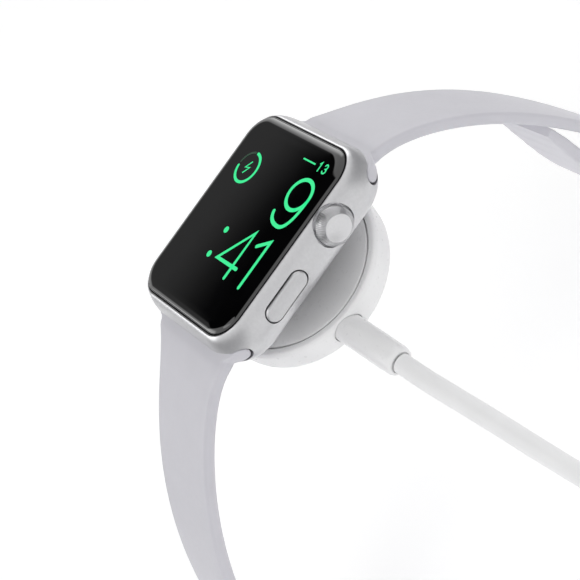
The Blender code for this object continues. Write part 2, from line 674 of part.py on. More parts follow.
def tube(name, points, slot, parent):
    curve = bpy.data.curves.new(name, "CURVE")
    curve.dimensions = "3D"
    curve.bevel_depth = CORD_D / 2 * MM
    curve.bevel_resolution = 2
    curve.use_fill_caps = True
    spline = curve.splines.new("POLY")
    spline.points.add(len(points) - 1)
    for point, place in zip(spline.points, points):
        point.co = (*(place * MM), 1.0)
    curve.materials.append(material(slot))
    obj = bpy.data.objects.new(name, curve)
    bpy.context.collection.objects.link(obj)
    obj.parent = parent
    return obj


def make_cord(datum, floor):
    tube("cord_run", smooth_points(cord_route(floor)), "cord_white", datum)
    cx, cy = COIL_CENTRE
    low = 0.05 - floor
    half, high = COIL_EDGE + CORD_D / 2, TURN_PITCH + CORD_D
    section = []
    for quarter, (sx, sz) in enumerate(((1, 1), (-1, 1), (-1, 0), (1, 0))):
        for i in range(4):
            a = radians(90 * quarter + 30 * i)
            centre_r = COIL_R + sx * (half - CORD_D / 2)
            centre_z = low + (high - CORD_D / 2 if sz else CORD_D / 2)
            section.append((centre_r + CORD_D / 2 * cos(a), centre_z + CORD_D / 2 * sin(a)))
    finish("cord_coil", shifted(turned(section, 40, loop=True), cx, cy, 0), "cord_white", datum)
    tail_x = cx + COIL_R + COIL_EDGE
    plug_y = cy - PLUG_DROP
    tube("cord_tail", smooth_points(tail_route(tail_x, cy, low), 2.0), "cord_white", datum)
    middle = low + PLUG_HEIGHT / 2
    sleeve = [plug_ring(y, 7.8 + grow, 3.0 + grow, 1.6 + grow)
              for y, grow in ((0.0, -0.9), (-0.5, -0.3), (-1.4, 0.0), (-13.0, 0.0), (-13.4, -0.4))]
    finish("plug_sleeve", shifted(loft(sleeve), tail_x, plug_y, middle), "white_plastic", datum)
    outer = [plug_ring(y, 6.0, 2.25, 0.4) for y in (-13.7, -25.7)]
    inner = [plug_ring(y, 5.6, 1.85, 0.3) for y in (-25.7, -14.5)]
    finish("plug_shell", shifted(loft(outer + inner), tail_x, plug_y, middle), "steel", datum)
    tongue = block((tail_x, plug_y - 20.0, middle + 0.6), (10.2, 10.0, 1.5), 0.2, 1)
    finish("plug_tongue", tongue, "white_plastic", datum)


def tail_route(x, coil_y, low):
    """Hand-set points from the coil's upper layer down to the plug; the first stays clear of the coil."""
    upper = low + CORD_D / 2 + TURN_PITCH
    level = low + PLUG_HEIGHT / 2
    return [(x, coil_y - COIL_CLEAR, upper - 1.45), (x, coil_y - 16.2, upper - 1.85),
            (x, coil_y - 18.4, level + 0.1), (x, coil_y - 20.6, level)]


def plug_ring(y, half_x, half_z, radius):
    return [(x, y, z) for x, z, _ in rounded_ring(half_x, half_z, radius, 0, 3)]


def main():
    clear_scene()
    set_curl()
    floor = floor_height()
    datum = empty("watch_frame", (*STAND, floor))
    crown_at = (CROWN_BASE_X, CROWN_Y, CROWN_Z)
    axes = {"crown_press": empty("crown_press_axis", crown_at, datum)}
    axes["crown_spin"] = empty("crown_spin_axis", crown_at, datum)
    axes["button"] = empty("button_axis", (BUTTON_FACE_X, BUTTON_Y, BUTTON_Z), datum)
    for strap, word in ((TOP_STRAP, "top"), (BOTTOM_STRAP, "bottom")):
        side = strap["side"]
        axes["release_" + word] = empty("release_axis_" + word, (0, side * RELEASE_Y, RELEASE_Z), datum)
        axes["lug_" + word] = empty("lug_axis_" + word, (0, side * SLOT_Y, SLOT_Z), datum)
        axes["strap_" + word] = empty("strap_axis_" + word, hinge_point(strap), datum)
    axes["charger"] = empty("charger_axis", HINGE, datum, TILT)
    make_case(datum)
    make_face(datum)
    make_back(datum)
    make_inside(datum)
    make_crown(datum, axes["crown_press"], axes["crown_spin"])
    make_button(datum, axes["button"])
    for side, word in ((1, "top"), (-1, "bottom")):
        make_release(datum, axes["release_" + word], side, word)
    make_straps(axes)
    make_charger(axes["charger"])
    make_cord(datum, floor)


main()
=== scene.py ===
"""Looks of the smartwatch: every visible piece, its material, the studio and the camera.

Lengths are millimetres in the watch frame, as in the model: X towards the crown, Y towards twelve
o'clock, Z out of the face, and zero in the middle of the plane where the glass meets the case.
"""
import json
import bpy
import bmesh
import numpy as np
from math import atan2, cos, degrees, exp, pi, radians, sin, sqrt
from mathutils import Matrix, Vector


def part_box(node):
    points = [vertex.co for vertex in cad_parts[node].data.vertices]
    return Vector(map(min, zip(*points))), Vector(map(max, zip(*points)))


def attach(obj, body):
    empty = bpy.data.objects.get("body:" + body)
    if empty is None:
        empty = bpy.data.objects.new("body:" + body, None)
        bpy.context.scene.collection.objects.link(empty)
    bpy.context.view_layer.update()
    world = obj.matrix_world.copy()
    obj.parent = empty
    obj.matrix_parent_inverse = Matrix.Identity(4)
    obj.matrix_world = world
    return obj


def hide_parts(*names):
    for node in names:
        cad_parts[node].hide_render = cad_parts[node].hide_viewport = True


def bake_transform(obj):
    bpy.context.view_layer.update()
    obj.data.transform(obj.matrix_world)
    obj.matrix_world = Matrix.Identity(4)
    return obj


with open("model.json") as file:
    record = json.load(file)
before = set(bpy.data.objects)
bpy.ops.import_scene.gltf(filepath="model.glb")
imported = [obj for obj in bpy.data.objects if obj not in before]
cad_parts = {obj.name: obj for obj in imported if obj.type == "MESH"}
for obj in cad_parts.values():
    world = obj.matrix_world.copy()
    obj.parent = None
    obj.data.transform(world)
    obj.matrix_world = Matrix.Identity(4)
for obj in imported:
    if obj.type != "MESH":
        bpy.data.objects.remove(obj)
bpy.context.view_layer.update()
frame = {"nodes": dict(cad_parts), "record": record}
MM = 0.001
CASE_LOW, CASE_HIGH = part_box("case_body")
DATUM = Vector(((CASE_LOW.x + CASE_HIGH.x) / 2, (CASE_LOW.y + CASE_HIGH.y) / 2, CASE_HIGH.z))
TABLE = -DATUM.z / MM

# Case
CASE_X = 33.3
CASE_Y = 40.1
CASE_CORNER = 7.0
CASE_WAIST_Z = -4.5
GLASS_INSET = 1.1
END_INSET = 1.85
OPENING_X = CASE_X / 2 - GLASS_INSET
OPENING_Y = CASE_Y / 2 - END_INSET
OPENING_CORNER = 5.0
FLANK = 1.5
BACK_RADIUS = 5.0
GLASS_TOP = 0.92
GLASS_GAP = 0.3
FLOOR_OF_OPENING = -1.7
# Back opening, its ledge and the hollow inside: half sizes, corner radius, height
HOLLOW = [(11.0, 13.6, 4.0, -9.5), (11.0, 13.6, 4.0, -8.9), (10.0, 12.6, 3.4, -8.9),
          (10.0, 12.6, 3.4, -8.3), (12.4, 14.4, 4.0, -8.0), (14.6, 14.6, 4.6, -6.0),
          (14.6, 14.6, 4.6, -2.6), (14.4, 16.6, 5.4, FLOOR_OF_OPENING)]
SIDE_HOLES_Z = -5.4

# Crown and side button
CROWN = (15.9, 7.3, -3.6)
CROWN_R = 3.42
CROWN_TEETH = 64
RECESS_R = 3.67
RECESS_X = 15.6
BUTTON = (16.8, -6.1, -4.1)
BUTTON_LENGTH = 9.4
BUTTON_WIDTH = 3.3
BUTTON_GROOVE = 0.2

# Band
SLOT_Y = 17.75
SLOT_Z = -5.1
SLOT_R = 1.65
LUG_R = 1.45
LUG_END_GAP = 0.06
STRAP_T = 2.1
STRAP_TIP_HALF = 9.0
STRAP_END_TAPER = 9.0
TOP_STRAP = dict(side=1, start=(21.1, -6.3), angle=29.7, rate=1.235, ease=-0.00896,
                 root=2.1, decay=5.1, bend_end=62.0, length=84.0)
BOTTOM_STRAP = dict(side=-1, start=(21.0, -6.2), angle=28.2, rate=0.80, ease=-0.0011,
                    root=2.7, decay=4.5, bend_end=56.0, length=98.0)
HOLES = [52.0 + 7.0 * i for i in range(6)]
HOLE_R = 1.9
PIN_AT = 75.0
PIN_HOLE_R = 1.62
LOOP_START = 36.0
LOOP_END = 81.0
LOOP_BOW = 5.6
LOOP_T = 2.4

# Charging puck, in its own frame tilted about the rounded edge of the case
HINGE = (BACK_RADIUS - CASE_X / 2, -1.0, CASE_WAIST_Z)
TILT = 15.0
PUCK_FACE = -5.28
PUCK_CENTRE = 11.92
PUCK_R = 16.75
PUCK_T = 6.2
COLLAR_Y = -3.0
COLLAR_Z = -3.1
COLLAR_R = 2.65
COLLAR_START = 14.9
COLLAR_END = 28.8

# Cord
CORD_D = 3.5
TURN_PITCH = 3.55
COIL_R = 19.25
COIL_TURNS = 7.25
COIL_EDGE = COIL_TURNS / 4 * TURN_PITCH
CORD_LANE = 6.0
COIL_CENTRE = (106.5, CORD_LANE - COIL_R - COIL_EDGE)
COIL_CLEAR = 14.4
PLUG_DROP = 20.9
PLUG_HEIGHT = 6.0
CORD_REST = TABLE + CORD_D / 2 + 0.05
CORD_BEND_END = (86.0, 5.4, CORD_REST)
PLUG_X = COIL_CENTRE[0] + COIL_R + COIL_EDGE

# Camera, a long lens low on the crown side
CAMERA_AT = (261.76, -14.51, 163.96)
CAMERA_RIGHT = (0.47442, 0.58225, -0.66024)
CAMERA_UP = (-0.30745, 0.81238, 0.49550)
LENS = 117.77
SENSOR = 36.0

# Studio, in metres
LAMP_AT = (0.18, -0.30, 0.62)
LAMP_TARGET = (0.0, 0.0, 0.06)
LAMP_SIZE = 0.5
LAMP_POWER = 0.7


# ---------------------------------------------------------------- materials

class Shader:
    """A Principled material built up by a few calls."""

    def __init__(self, name, **sockets):
        self.material = bpy.data.materials.new(name)
        self.material.use_nodes = True
        self.tree = self.material.node_tree
        self.shader = self.tree.nodes["Principled BSDF"]
        for key, value in sockets.items():
            self.shader.inputs[key.replace("_", " ")].default_value = value
        self.place = self.tree.nodes.new("ShaderNodeTexCoord").outputs["Object"]

    def node(self, kind, **inputs):
        made = self.tree.nodes.new(kind)
        for key, value in inputs.items():
            socket = made.inputs[key.replace("_", " ")]
            if isinstance(value, bpy.types.NodeSocket):
                self.tree.links.new(value, socket)
            else:
                socket.default_value = value
        return made

    def noise(self, size, detail=3.0, stretch=None):
        """Noise whose features are about size millimetres across."""
        place = self.place
        if stretch:
            mapping = self.node("ShaderNodeMapping", Vector=place)
            mapping.inputs["Scale"].default_value = stretch
            place = mapping.outputs[0]
        made = self.node("ShaderNodeTexNoise", Vector=place, Scale=1 / (size * MM), Detail=detail)
        return made.outputs["Fac"]

    def span(self, source, low, high, from_low=0.3, from_high=0.7):
        made = self.node("ShaderNodeMapRange", Value=source)
        made.inputs["From Min"].default_value = from_low
        made.inputs["From Max"].default_value = from_high
        made.inputs["To Min"].default_value = low
        made.inputs["To Max"].default_value = high
        return made.outputs[0]

    def link(self, source, target):
        self.tree.links.new(source, self.shader.inputs[target])
        return self

    def colours(self, source, *stops):
        """Colour ramp of (place, colour) stops feeding the base colour."""
        ramp = self.node("ShaderNodeValToRGB", Fac=source)
        elements = ramp.color_ramp.elements
        while len(elements) < len(stops):
            elements.new(0.5)
        for element, (at, colour) in zip(elements, stops):
            element.position = at
            element.color = (*colour, 1.0)
        self.tree.links.new(ramp.outputs[0], self.shader.inputs["Base Color"])
        return self

    def bump(self, source, depth, strength=1.0):
        """Surface relief of depth millimetres."""
        made = self.node("ShaderNodeBump", Height=source, Strength=strength)
        made.inputs["Distance"].default_value = depth * MM
        self.tree.links.new(made.outputs[0], self.shader.inputs["Normal"])
        return self


def shade(colour, factor):
    return tuple(min(1.0, c * factor) for c in colour)


def blasted_aluminium():
    m = Shader("blasted_aluminium", Metallic=1.0)
    base = (0.60, 0.60, 0.612)
    m.colours(m.noise(0.5, 4), (0.35, shade(base, 0.97)), (0.65, shade(base, 1.02)))
    m.link(m.span(m.noise(0.16, 3), 0.30, 0.38), "Roughness")
    return m.bump(m.noise(0.13, 2), 0.006, 0.5).material


def turned_aluminium():
    m = Shader("turned_aluminium", Metallic=1.0)
    base = (0.64, 0.64, 0.65)
    m.colours(m.noise(0.3, 3, (0.2, 1, 1)), (0.35, shade(base, 0.96)), (0.65, shade(base, 1.02)))
    m.link(m.span(m.noise(0.1, 3), 0.20, 0.28), "Roughness")
    return m.bump(m.noise(0.1, 2, (0.2, 1, 1)), 0.003, 0.4).material


def black_glass():
    m = Shader("black_glass", IOR=1.8)
    m.colours(m.noise(4.0, 2), (0.3, (0.0012, 0.0012, 0.0014)), (0.7, (0.002, 0.002, 0.0023)))
    m.link(m.span(m.noise(3.0, 5), 0.02, 0.05), "Roughness")
    return m.material


def rubber_seal():
    m = Shader("rubber_seal", Specular_IOR_Level=0.25)
    m.colours(m.noise(0.4, 3), (0.3, (0.006, 0.006, 0.007)), (0.7, (0.014, 0.014, 0.015)))
    m.link(m.span(m.noise(0.2, 3), 0.55, 0.75), "Roughness")
    return m.bump(m.noise(0.15, 3), 0.01, 0.4).material


def ceramic_back():
    m = Shader("ceramic_back", Coat_Weight=0.5, Coat_Roughness=0.08)
    base = (0.66, 0.66, 0.68)
    m.colours(m.noise(1.5, 4), (0.3, shade(base, 0.96)), (0.7, shade(base, 1.03)))
    m.link(m.span(m.noise(0.6, 3), 0.28, 0.36), "Roughness")
    return m.material


def sapphire():
    m = Shader("sapphire_window", IOR=1.76)
    m.colours(m.noise(2.0, 3), (0.3, (0.012, 0.010, 0.014)), (0.7, (0.03, 0.024, 0.032)))
    m.link(m.span(m.noise(2.0, 4), 0.03, 0.07), "Roughness")
    return m.material


def circuit_board():
    m = Shader("circuit_board", Specular_IOR_Level=0.5)
    tracks = m.node("ShaderNodeTexVoronoi", Vector=m.place, Scale=1 / (1.4 * MM))
    tracks.distance = "MANHATTAN"
    m.colours(tracks.outputs["Distance"], (0.28, (0.012, 0.075, 0.035)), (0.34, (0.03, 0.16, 0.08)),
              (0.7, (0.02, 0.11, 0.055)), (0.86, (0.55, 0.38, 0.12)))
    m.link(m.span(m.noise(0.5, 3), 0.35, 0.5), "Roughness")
    return m.bump(tracks.outputs["Distance"], 0.04, 0.6).material


def foil_pouch():
    m = Shader("foil_pouch", Metallic=0.35)
    m.colours(m.noise(2.0, 4), (0.3, (0.025, 0.025, 0.03)), (0.7, (0.06, 0.06, 0.068)))
    m.link(m.span(m.noise(1.0, 4), 0.3, 0.5), "Roughness")
    return m.bump(m.noise(2.4, 4), 0.12, 0.6).material


def copper_winding():
    m = Shader("copper_winding", Metallic=1.0)
    wires = m.node("ShaderNodeTexWave", Vector=m.place, Scale=1 / (1.1 * MM), Distortion=0.4)
    wires.wave_type = "RINGS"
    wires.rings_direction = "Z"
    m.colours(wires.outputs["Fac"], (0.1, (0.32, 0.12, 0.05)), (0.6, (0.86, 0.43, 0.22)))
    m.link(m.span(wires.outputs["Fac"], 0.5, 0.25, 0.0, 1.0), "Roughness")
    return m.bump(wires.outputs["Fac"], 0.06, 0.8).material


def fine_steel(name="fine_steel", base=(0.60, 0.60, 0.62), rough=0.24):
    m = Shader(name, Metallic=1.0)
    m.colours(m.noise(0.5, 4, (1, 0.15, 1)), (0.3, shade(base, 0.92)), (0.7, shade(base, 1.05)))
    m.link(m.span(m.noise(0.25, 4, (1, 0.15, 1)), rough - 0.05, rough + 0.08), "Roughness")
    return m.bump(m.noise(0.2, 3, (1, 0.15, 1)), 0.004, 0.5).material


def soft_elastomer():
    m = Shader("soft_elastomer", Specular_IOR_Level=0.42, Sheen_Weight=0.12, Sheen_Roughness=0.5)
    base = (0.60, 0.593, 0.637)
    m.colours(m.noise(6.0, 3), (0.3, shade(base, 0.985)), (0.7, shade(base, 1.012)))
    m.link(m.span(m.noise(0.8, 4), 0.46, 0.58), "Roughness")
    return m.bump(m.noise(0.22, 3), 0.008, 0.35).material


def gloss_white():
    m = Shader("gloss_white", Specular_IOR_Level=0.5, Coat_Weight=0.25, Coat_Roughness=0.12)
    base = (0.86, 0.86, 0.865)
    m.colours(m.noise(5.0, 3), (0.3, shade(base, 0.985)), (0.7, shade(base, 1.01)))
    m.link(m.span(m.noise(0.7, 4), 0.26, 0.36), "Roughness")
    return m.bump(m.noise(1.6, 3), 0.008, 0.3).material


def cord_jacket():
    m = Shader("cord_jacket", Specular_IOR_Level=0.4, Sheen_Weight=0.08)
    base = (0.87, 0.87, 0.875)
    m.colours(m.noise(4.0, 3), (0.3, shade(base, 0.98)), (0.7, shade(base, 1.01)))
    m.link(m.span(m.noise(0.6, 4), 0.40, 0.52), "Roughness")
    return m.bump(m.noise(0.35, 3), 0.012, 0.35).material


def lit_display():
    m = Shader("lit_display", Emission_Strength=1.0)
    glow = m.node("ShaderNodeValToRGB", Fac=m.noise(1.0, 2))
    glow.color_ramp.elements[0].color = (0.022, 0.80, 0.27, 1.0)
    glow.color_ramp.elements[1].color = (0.030, 0.88, 0.31, 1.0)
    m.link(glow.outputs[0], "Emission Color")
    m.colours(m.noise(1.0, 2), (0.3, (0.004, 0.02, 0.01)), (0.7, (0.005, 0.025, 0.012)))
    return m.material


def unlit_display():
    m = Shader("unlit_track", Emission_Strength=1.0)
    glow = m.node("ShaderNodeValToRGB", Fac=m.noise(1.0, 2))
    glow.color_ramp.elements[0].color = (0.006, 0.035, 0.016, 1.0)
    glow.color_ramp.elements[1].color = (0.008, 0.045, 0.020, 1.0)
    m.link(glow.outputs[0], "Emission Color")
    m.colours(m.noise(1.0, 2), (0.3, (0.002, 0.004, 0.003)), (0.7, (0.003, 0.005, 0.004)))
    return m.material


def pale_floor_painted_glow():
    """Painted pool of light: white and glowing under the watch, greyer and without glow well out to its
    sides.
    """
    m = Shader("pale_floor_painted_glow", Roughness=0.9, Specular_IOR_Level=0.0)
    split = m.node("ShaderNodeSeparateXYZ", Vector=m.place)
    out = m.node("ShaderNodeMath", Value=split.outputs["Y"])
    out.operation = "ABSOLUTE"
    painted_glow_fade = m.span(out.outputs[0], 0.0, 1.0, 0.11, 0.22)
    m.colours(painted_glow_fade, (0.0, (0.94, 0.94, 0.94)), (1.0, (0.40, 0.40, 0.41)))
    # Painted light: emission makes the floor glow white under the watch, fading to none towards the sides.
    m.link(m.span(painted_glow_fade, 0.24, 0.0, 0.0, 1.0), "Emission Strength")
    m.shader.inputs["Emission Color"].default_value = (1.0, 1.0, 1.0, 1.0)
    return m.material


FINISHES = {
    "aluminium": blasted_aluminium,
    "glass_black": black_glass,
    "seal_black": rubber_seal,
    "back_plate": ceramic_back,
    "back_lens": sapphire,
    "board": circuit_board,
    "battery": foil_pouch,
    "copper": copper_winding,
    "steel": fine_steel,
    "elastomer": soft_elastomer,
    "white_plastic": gloss_white,
    "cord_white": cord_jacket,
    "magnet": lambda: fine_steel("plated_magnet", (0.42, 0.42, 0.44), 0.3),
}
MADE = {}


def finish_of(slot):
    if slot not in MADE:
        MADE[slot] = FINISHES[slot]()
    return MADE[slot]


# ---------------------------------------------------------------- mesh helpers

def rounded_ring(half_x, half_y, radius, z, seg=16, straight=1):
    """Points of a rounded rectangle at one height, anticlockwise, with its long sides divided."""
    points = []
    for quarter in range(4):
        sx = (1, -1, -1, 1)[quarter]
        sy = (1, 1, -1, -1)[quarter]
        for i in range(seg + 1):
            a = radians(90 * quarter + 90 * i / seg)
            points.append((sx * (half_x - radius) + radius * cos(a),
                           sy * (half_y - radius) + radius * sin(a), z))
        nx, ny = ((-1, 1), (-1, -1), (1, -1), (1, 1))[quarter]
        a = radians(90 * quarter + 90)
        end = (nx * (half_x - radius) + radius * cos(a), ny * (half_y - radius) + radius * sin(a))
        last = points[-1]
        for k in range(1, straight):
            t = k / straight
            points.append((last[0] + (end[0] - last[0]) * t, last[1] + (end[1] - last[1]) * t, z))
    return points


def loft(rings, loop=False, bm=None):
    """Join rings with equal point counts; a loop closes on itself, otherwise the ends are capped."""
    bm = bm or bmesh.new()
    rows = [[bm.verts.new(p) for p in ring] for ring in rings]
    count = len(rows[0])
    pairs = list(zip(rows, rows[1:] + rows[:1])) if loop else list(zip(rows, rows[1:]))
    for low, high in pairs:
        for i in range(count):
            j = (i + 1) % count
            bm.faces.new((low[i], low[j], high[j], high[i]))
    if not loop:
        bm.faces.new(rows[0][::-1])
        bm.faces.new(rows[-1])
    return bm


def circle(radius, z, steps):
    angles = [2 * pi * i / steps for i in range(steps)]
    return [(radius * cos(a), radius * sin(a), z) for a in angles]


def turned(profile, steps=96, loop=False, bm=None):
    """Turn a (radius, z) profile about Z; a profile that starts and ends on the axis is solid."""
    bm = bm or bmesh.new()
    rows = []
    for radius, z in profile:
        if radius < 1e-6:
            rows.append([bm.verts.new((0, 0, z))])
        else:
            rows.append([bm.verts.new(p) for p in circle(radius, z, steps)])
    pairs = list(zip(rows, rows[1:] + rows[:1])) if loop else list(zip(rows, rows[1:]))
    for low, high in pairs:
        if len(low) == 1 and len(high) == 1:
            continue
        for i in range(steps):
            j = (i + 1) % steps
            if len(low) == 1:
                bm.faces.new((low[0], high[j], high[i]))
            elif len(high) == 1:
                bm.faces.new((low[i], low[j], high[0]))
            else:
                bm.faces.new((low[i], low[j], high[j], high[i]))
    return bm


def rounded_profile(points, radius=0.1, seg=3):
    """A profile with each corner between its first and last points rounded by an arc."""
    result = [points[0]]
    for before, corner, after in zip(points, points[1:], points[2:]):
        a, b, c = Vector(before), Vector(corner), Vector(after)
        reach = min(radius, (a - b).length * 0.45, (c - b).length * 0.45)
        first = b + (a - b).normalized() * reach
        last = b + (c - b).normalized() * reach
        for i in range(seg + 1):
            t = i / seg
            result.append(tuple(first.lerp(b, t).lerp(b.lerp(last, t), t)))
    result.append(points[-1])
    return result


def shifted(bm, x, y, z):
    bmesh.ops.transform(bm, verts=bm.verts, matrix=Matrix.Translation((x, y, z)))
    return bm


def along_x(bm, x, y, z):
    turn = Matrix.Rotation(radians(90), 4, "Y")
    bmesh.ops.transform(bm, verts=bm.verts, matrix=Matrix.Translation((x, y, z)) @ turn)
    return bm


def disc(radius, z_low, z_high, steps=64):
    return turned([(0, z_low), (radius, z_low), (radius, z_high), (0, z_high)], steps)


def block(centre, size, radius=0.3, seg=5, edge=0.12):
    """A slab with round plan corners and softened rims."""
    sx, sy, sz = (v / 2 for v in size)
    rings = []
    for inset, z in ((edge, -sz), (edge * 0.3, -sz + edge * 0.3), (0, -sz + edge),
                     (0, sz - edge), (edge * 0.3, sz - edge * 0.3), (edge, sz)):
        rings.append(rounded_ring(sx - inset, sy - inset, max(0.02, radius - inset), z, seg))
    return shifted(loft(rings), *centre)


def pill_ring(length, width, x, seg=16):
    """Stadium outline in the YZ plane at one x, long along Y."""
    radius = width / 2
    points = []
    for end in (1, -1):
        for i in range(seg + 1):
            a = radians(-90 + 180 * i / seg) if end == 1 else radians(90 + 180 * i / seg)
            points.append((x, end * (length / 2 - radius) + radius * cos(a), radius * sin(a)))
    return points


def raw_object(name, bm):
    """An object in the row frame, in metres, from geometry in watch millimetres."""
    bmesh.ops.remove_doubles(bm, verts=bm.verts, dist=1e-4)
    bmesh.ops.recalc_face_normals(bm, faces=bm.faces)
    for vert in bm.verts:
        vert.co = vert.co * MM + DATUM
    mesh = bpy.data.meshes.new(name)
    bm.to_mesh(mesh)
    bm.free()
    obj = bpy.data.objects.new(name, mesh)
    bpy.context.collection.objects.link(obj)
    return obj


def applied(obj):
    """Replace an object's mesh by its evaluated one, and clear its modifiers."""
    graph = bpy.context.evaluated_depsgraph_get()
    mesh = bpy.data.meshes.new_from_object(obj.evaluated_get(graph))
    obj.modifiers.clear()
    obj.data = mesh


def carve(obj, cutters):
    for i, bm in enumerate(cutters):
        cutter = raw_object("cutter_%d" % i, bm)
        boolean = obj.modifiers.new("cut", "BOOLEAN")
        boolean.operation = "DIFFERENCE"
        boolean.solver = "EXACT"
        boolean.object = cutter
        applied(obj)
        bpy.data.objects.remove(cutter, do_unlink=True)


def soften(obj, width, seg=2, angle=40.0):
    bevel = obj.modifiers.new("bevel", "BEVEL")
    bevel.width = width * MM
    bevel.segments = seg
    bevel.limit_method = "ANGLE"
    bevel.angle_limit = radians(angle)
    bevel.use_clamp_overlap = True
    applied(obj)


def piece(name, bm, slot, body, stands_for=(), smooth=35.0, cuts=(), soft=0.0, look=None):
    """A finished piece that rides on a body; one given as (a, b, start, end) only has its place baked in.
    """
    obj = raw_object(name, bm)
    carve(obj, cuts)
    if soft:
        soften(obj, soft)
    obj.data.shade_smooth()
    obj.data.set_sharp_from_angle(angle=radians(smooth))
    obj.data.materials.clear()
    obj.data.materials.append(look or finish_of(slot))
    if isinstance(body, str):
        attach(obj, body)
    else:
        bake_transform(obj)
    if stands_for:
        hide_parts(*stands_for)
    return obj


def to_row(x, y, z):
    """A point of the watch frame, in metres in the row frame."""
    return Vector((x, y, z)) * MM + DATUM


# ---------------------------------------------------------------- case

def case_section(z):
    """Half sizes and corner radius of the case outside at one height."""
    if z > CASE_WAIST_Z:
        rise = 1 - z / CASE_WAIST_Z
        part = 1 - max(0.0, 1 - rise ** FLANK) ** (1 / FLANK)
        corner = CASE_CORNER + (OPENING_CORNER - CASE_CORNER) * part
        return CASE_X / 2 - GLASS_INSET * part, CASE_Y / 2 - END_INSET * part, corner
    inset = BACK_RADIUS - sqrt(max(0.0, BACK_RADIUS ** 2 - (CASE_WAIST_Z - z) ** 2))
    return CASE_X / 2 - inset, CASE_Y / 2 - inset, CASE_CORNER - inset * 0.75


def case_bmesh():
    heights = [-0.02, -0.07, -0.15, -0.3]
    heights += [-0.3 - 4.2 * (i / 14) for i in range(1, 15)]
    heights += [CASE_WAIST_Z - BACK_RADIUS * sin(radians(90 * i / 20)) for i in range(1, 21)]
    rings = []
    for inset, z in ((0.12, -0.05), (0.1, -0.015), (0.05, 0.0)):
        rings.append(rounded_ring(OPENING_X - inset, OPENING_Y - inset, OPENING_CORNER - inset, z))
    for z in heights:
        half_x, half_y, radius = case_section(z)
        rings.append(rounded_ring(half_x, half_y, radius, z))
    for half_x, half_y, radius, z in HOLLOW:
        rings.append(rounded_ring(half_x, half_y, radius, z))
    wall = 0.16
    rings.append(rounded_ring(OPENING_X - wall, OPENING_Y - wall, OPENING_CORNER - wall, FLOOR_OF_OPENING))
    return loft(rings, loop=True)


def slot_cutter(side):
    points = []
    for i in range(31):
        a = radians(68 + 224 * i / 30)
        points.append((SLOT_Y + SLOT_R * cos(a), SLOT_Z + SLOT_R * sin(a)))
    points += [(23.0, -7.9), (23.0, -1.9)]
    return loft([[(x, side * y, z) for y, z in points] for x in (-20.0, 20.0)])


def pill_cutter(length, width, x_low, x_high, seg=16):
    return loft([pill_ring(length, width, x, seg) for x in (x_low, x_high)])


def case_cuts():
    cuts = []
    for side in (1, -1):
        cuts.append(slot_cutter(side))
        pocket = loft([rounded_ring(3.2, 1.13, 1.12, z, 10) for z in (-10.0, -7.7)])
        cuts.append(shifted(pocket, 0, side * 16.2, 0))
    cuts.append(along_x(disc(RECESS_R, 0, 4, 96), RECESS_X, CROWN[1], CROWN[2]))
    cuts.append(along_x(disc(1.5, -4, 3, 48), RECESS_X, CROWN[1], CROWN[2]))
    long, wide = BUTTON_LENGTH + 2 * BUTTON_GROOVE, BUTTON_WIDTH + 2 * BUTTON_GROOVE
    cuts.append(shifted(pill_cutter(long, wide, 15.0, 19.0), 0, BUTTON[1], BUTTON[2]))
    for y in (5.2, -0.4):
        cuts.append(shifted(pill_cutter(4.4, 0.9, -20.0, -13.0, 8), 0, y, SIDE_HOLES_Z))
    cuts.append(along_x(disc(0.45, -20, -13, 24), 0, -6.4, SIDE_HOLES_Z))
    return cuts


def make_case():
    piece("case_shell", case_bmesh(), "aluminium", "watch", ["case_body"], smooth=30,
          cuts=case_cuts(), soft=0.07)


def make_glass():
    """Domed glass: a flat middle, with its curve kept to the last millimetre and a half."""
    half_x, half_y, corner = OPENING_X - GLASS_GAP, OPENING_Y - GLASS_GAP, OPENING_CORNER - 0.25
    profile = [(0.6, -1.3), (0.12, -1.3), (0.0, -1.2), (0.0, -0.05), (0.02, 0.1), (0.09, 0.26),
               (0.22, 0.43), (0.4, 0.585), (0.6, 0.70), (0.8, 0.785), (1.0, 0.845), (1.15, 0.88),
               (1.3, 0.903), (1.5, 0.916), (1.9, GLASS_TOP)]
    rings = [rounded_ring(half_x - inset, half_y - inset, corner - inset * 0.8, z, 24)
             for inset, z in profile]
    piece("cover_glass_dome", loft(rings), "glass_black", "watch", ["cover_glass"], smooth=60)
    rings = [rounded_ring(half_x + grow, half_y + grow, corner + grow, z, 24)
             for grow, z in ((0.03, -0.2), (0.04, -0.06), (0.08, -0.03), (0.125, -0.08), (0.125, -1.6),
                             (-0.6, -1.6), (-0.6, -1.4), (0.03, -1.4))]
    piece("gasket_line", loft(rings, loop=True), "seal_black", "watch", ["glass_gasket"], smooth=50)


# ---------------------------------------------------------------- dial

MARK_Z = GLASS_TOP + 0.01
MARK_T = 0.02


def round_end(point, away, width, seg):
    """Half circle of points round the end of a line, bulging the way the line points."""
    turn = atan2(away.y, away.x)
    angles = [turn - pi / 2 + pi * k / seg for k in range(1, seg)]
    return [point + Vector((cos(a), sin(a))) * width / 2 for a in angles]


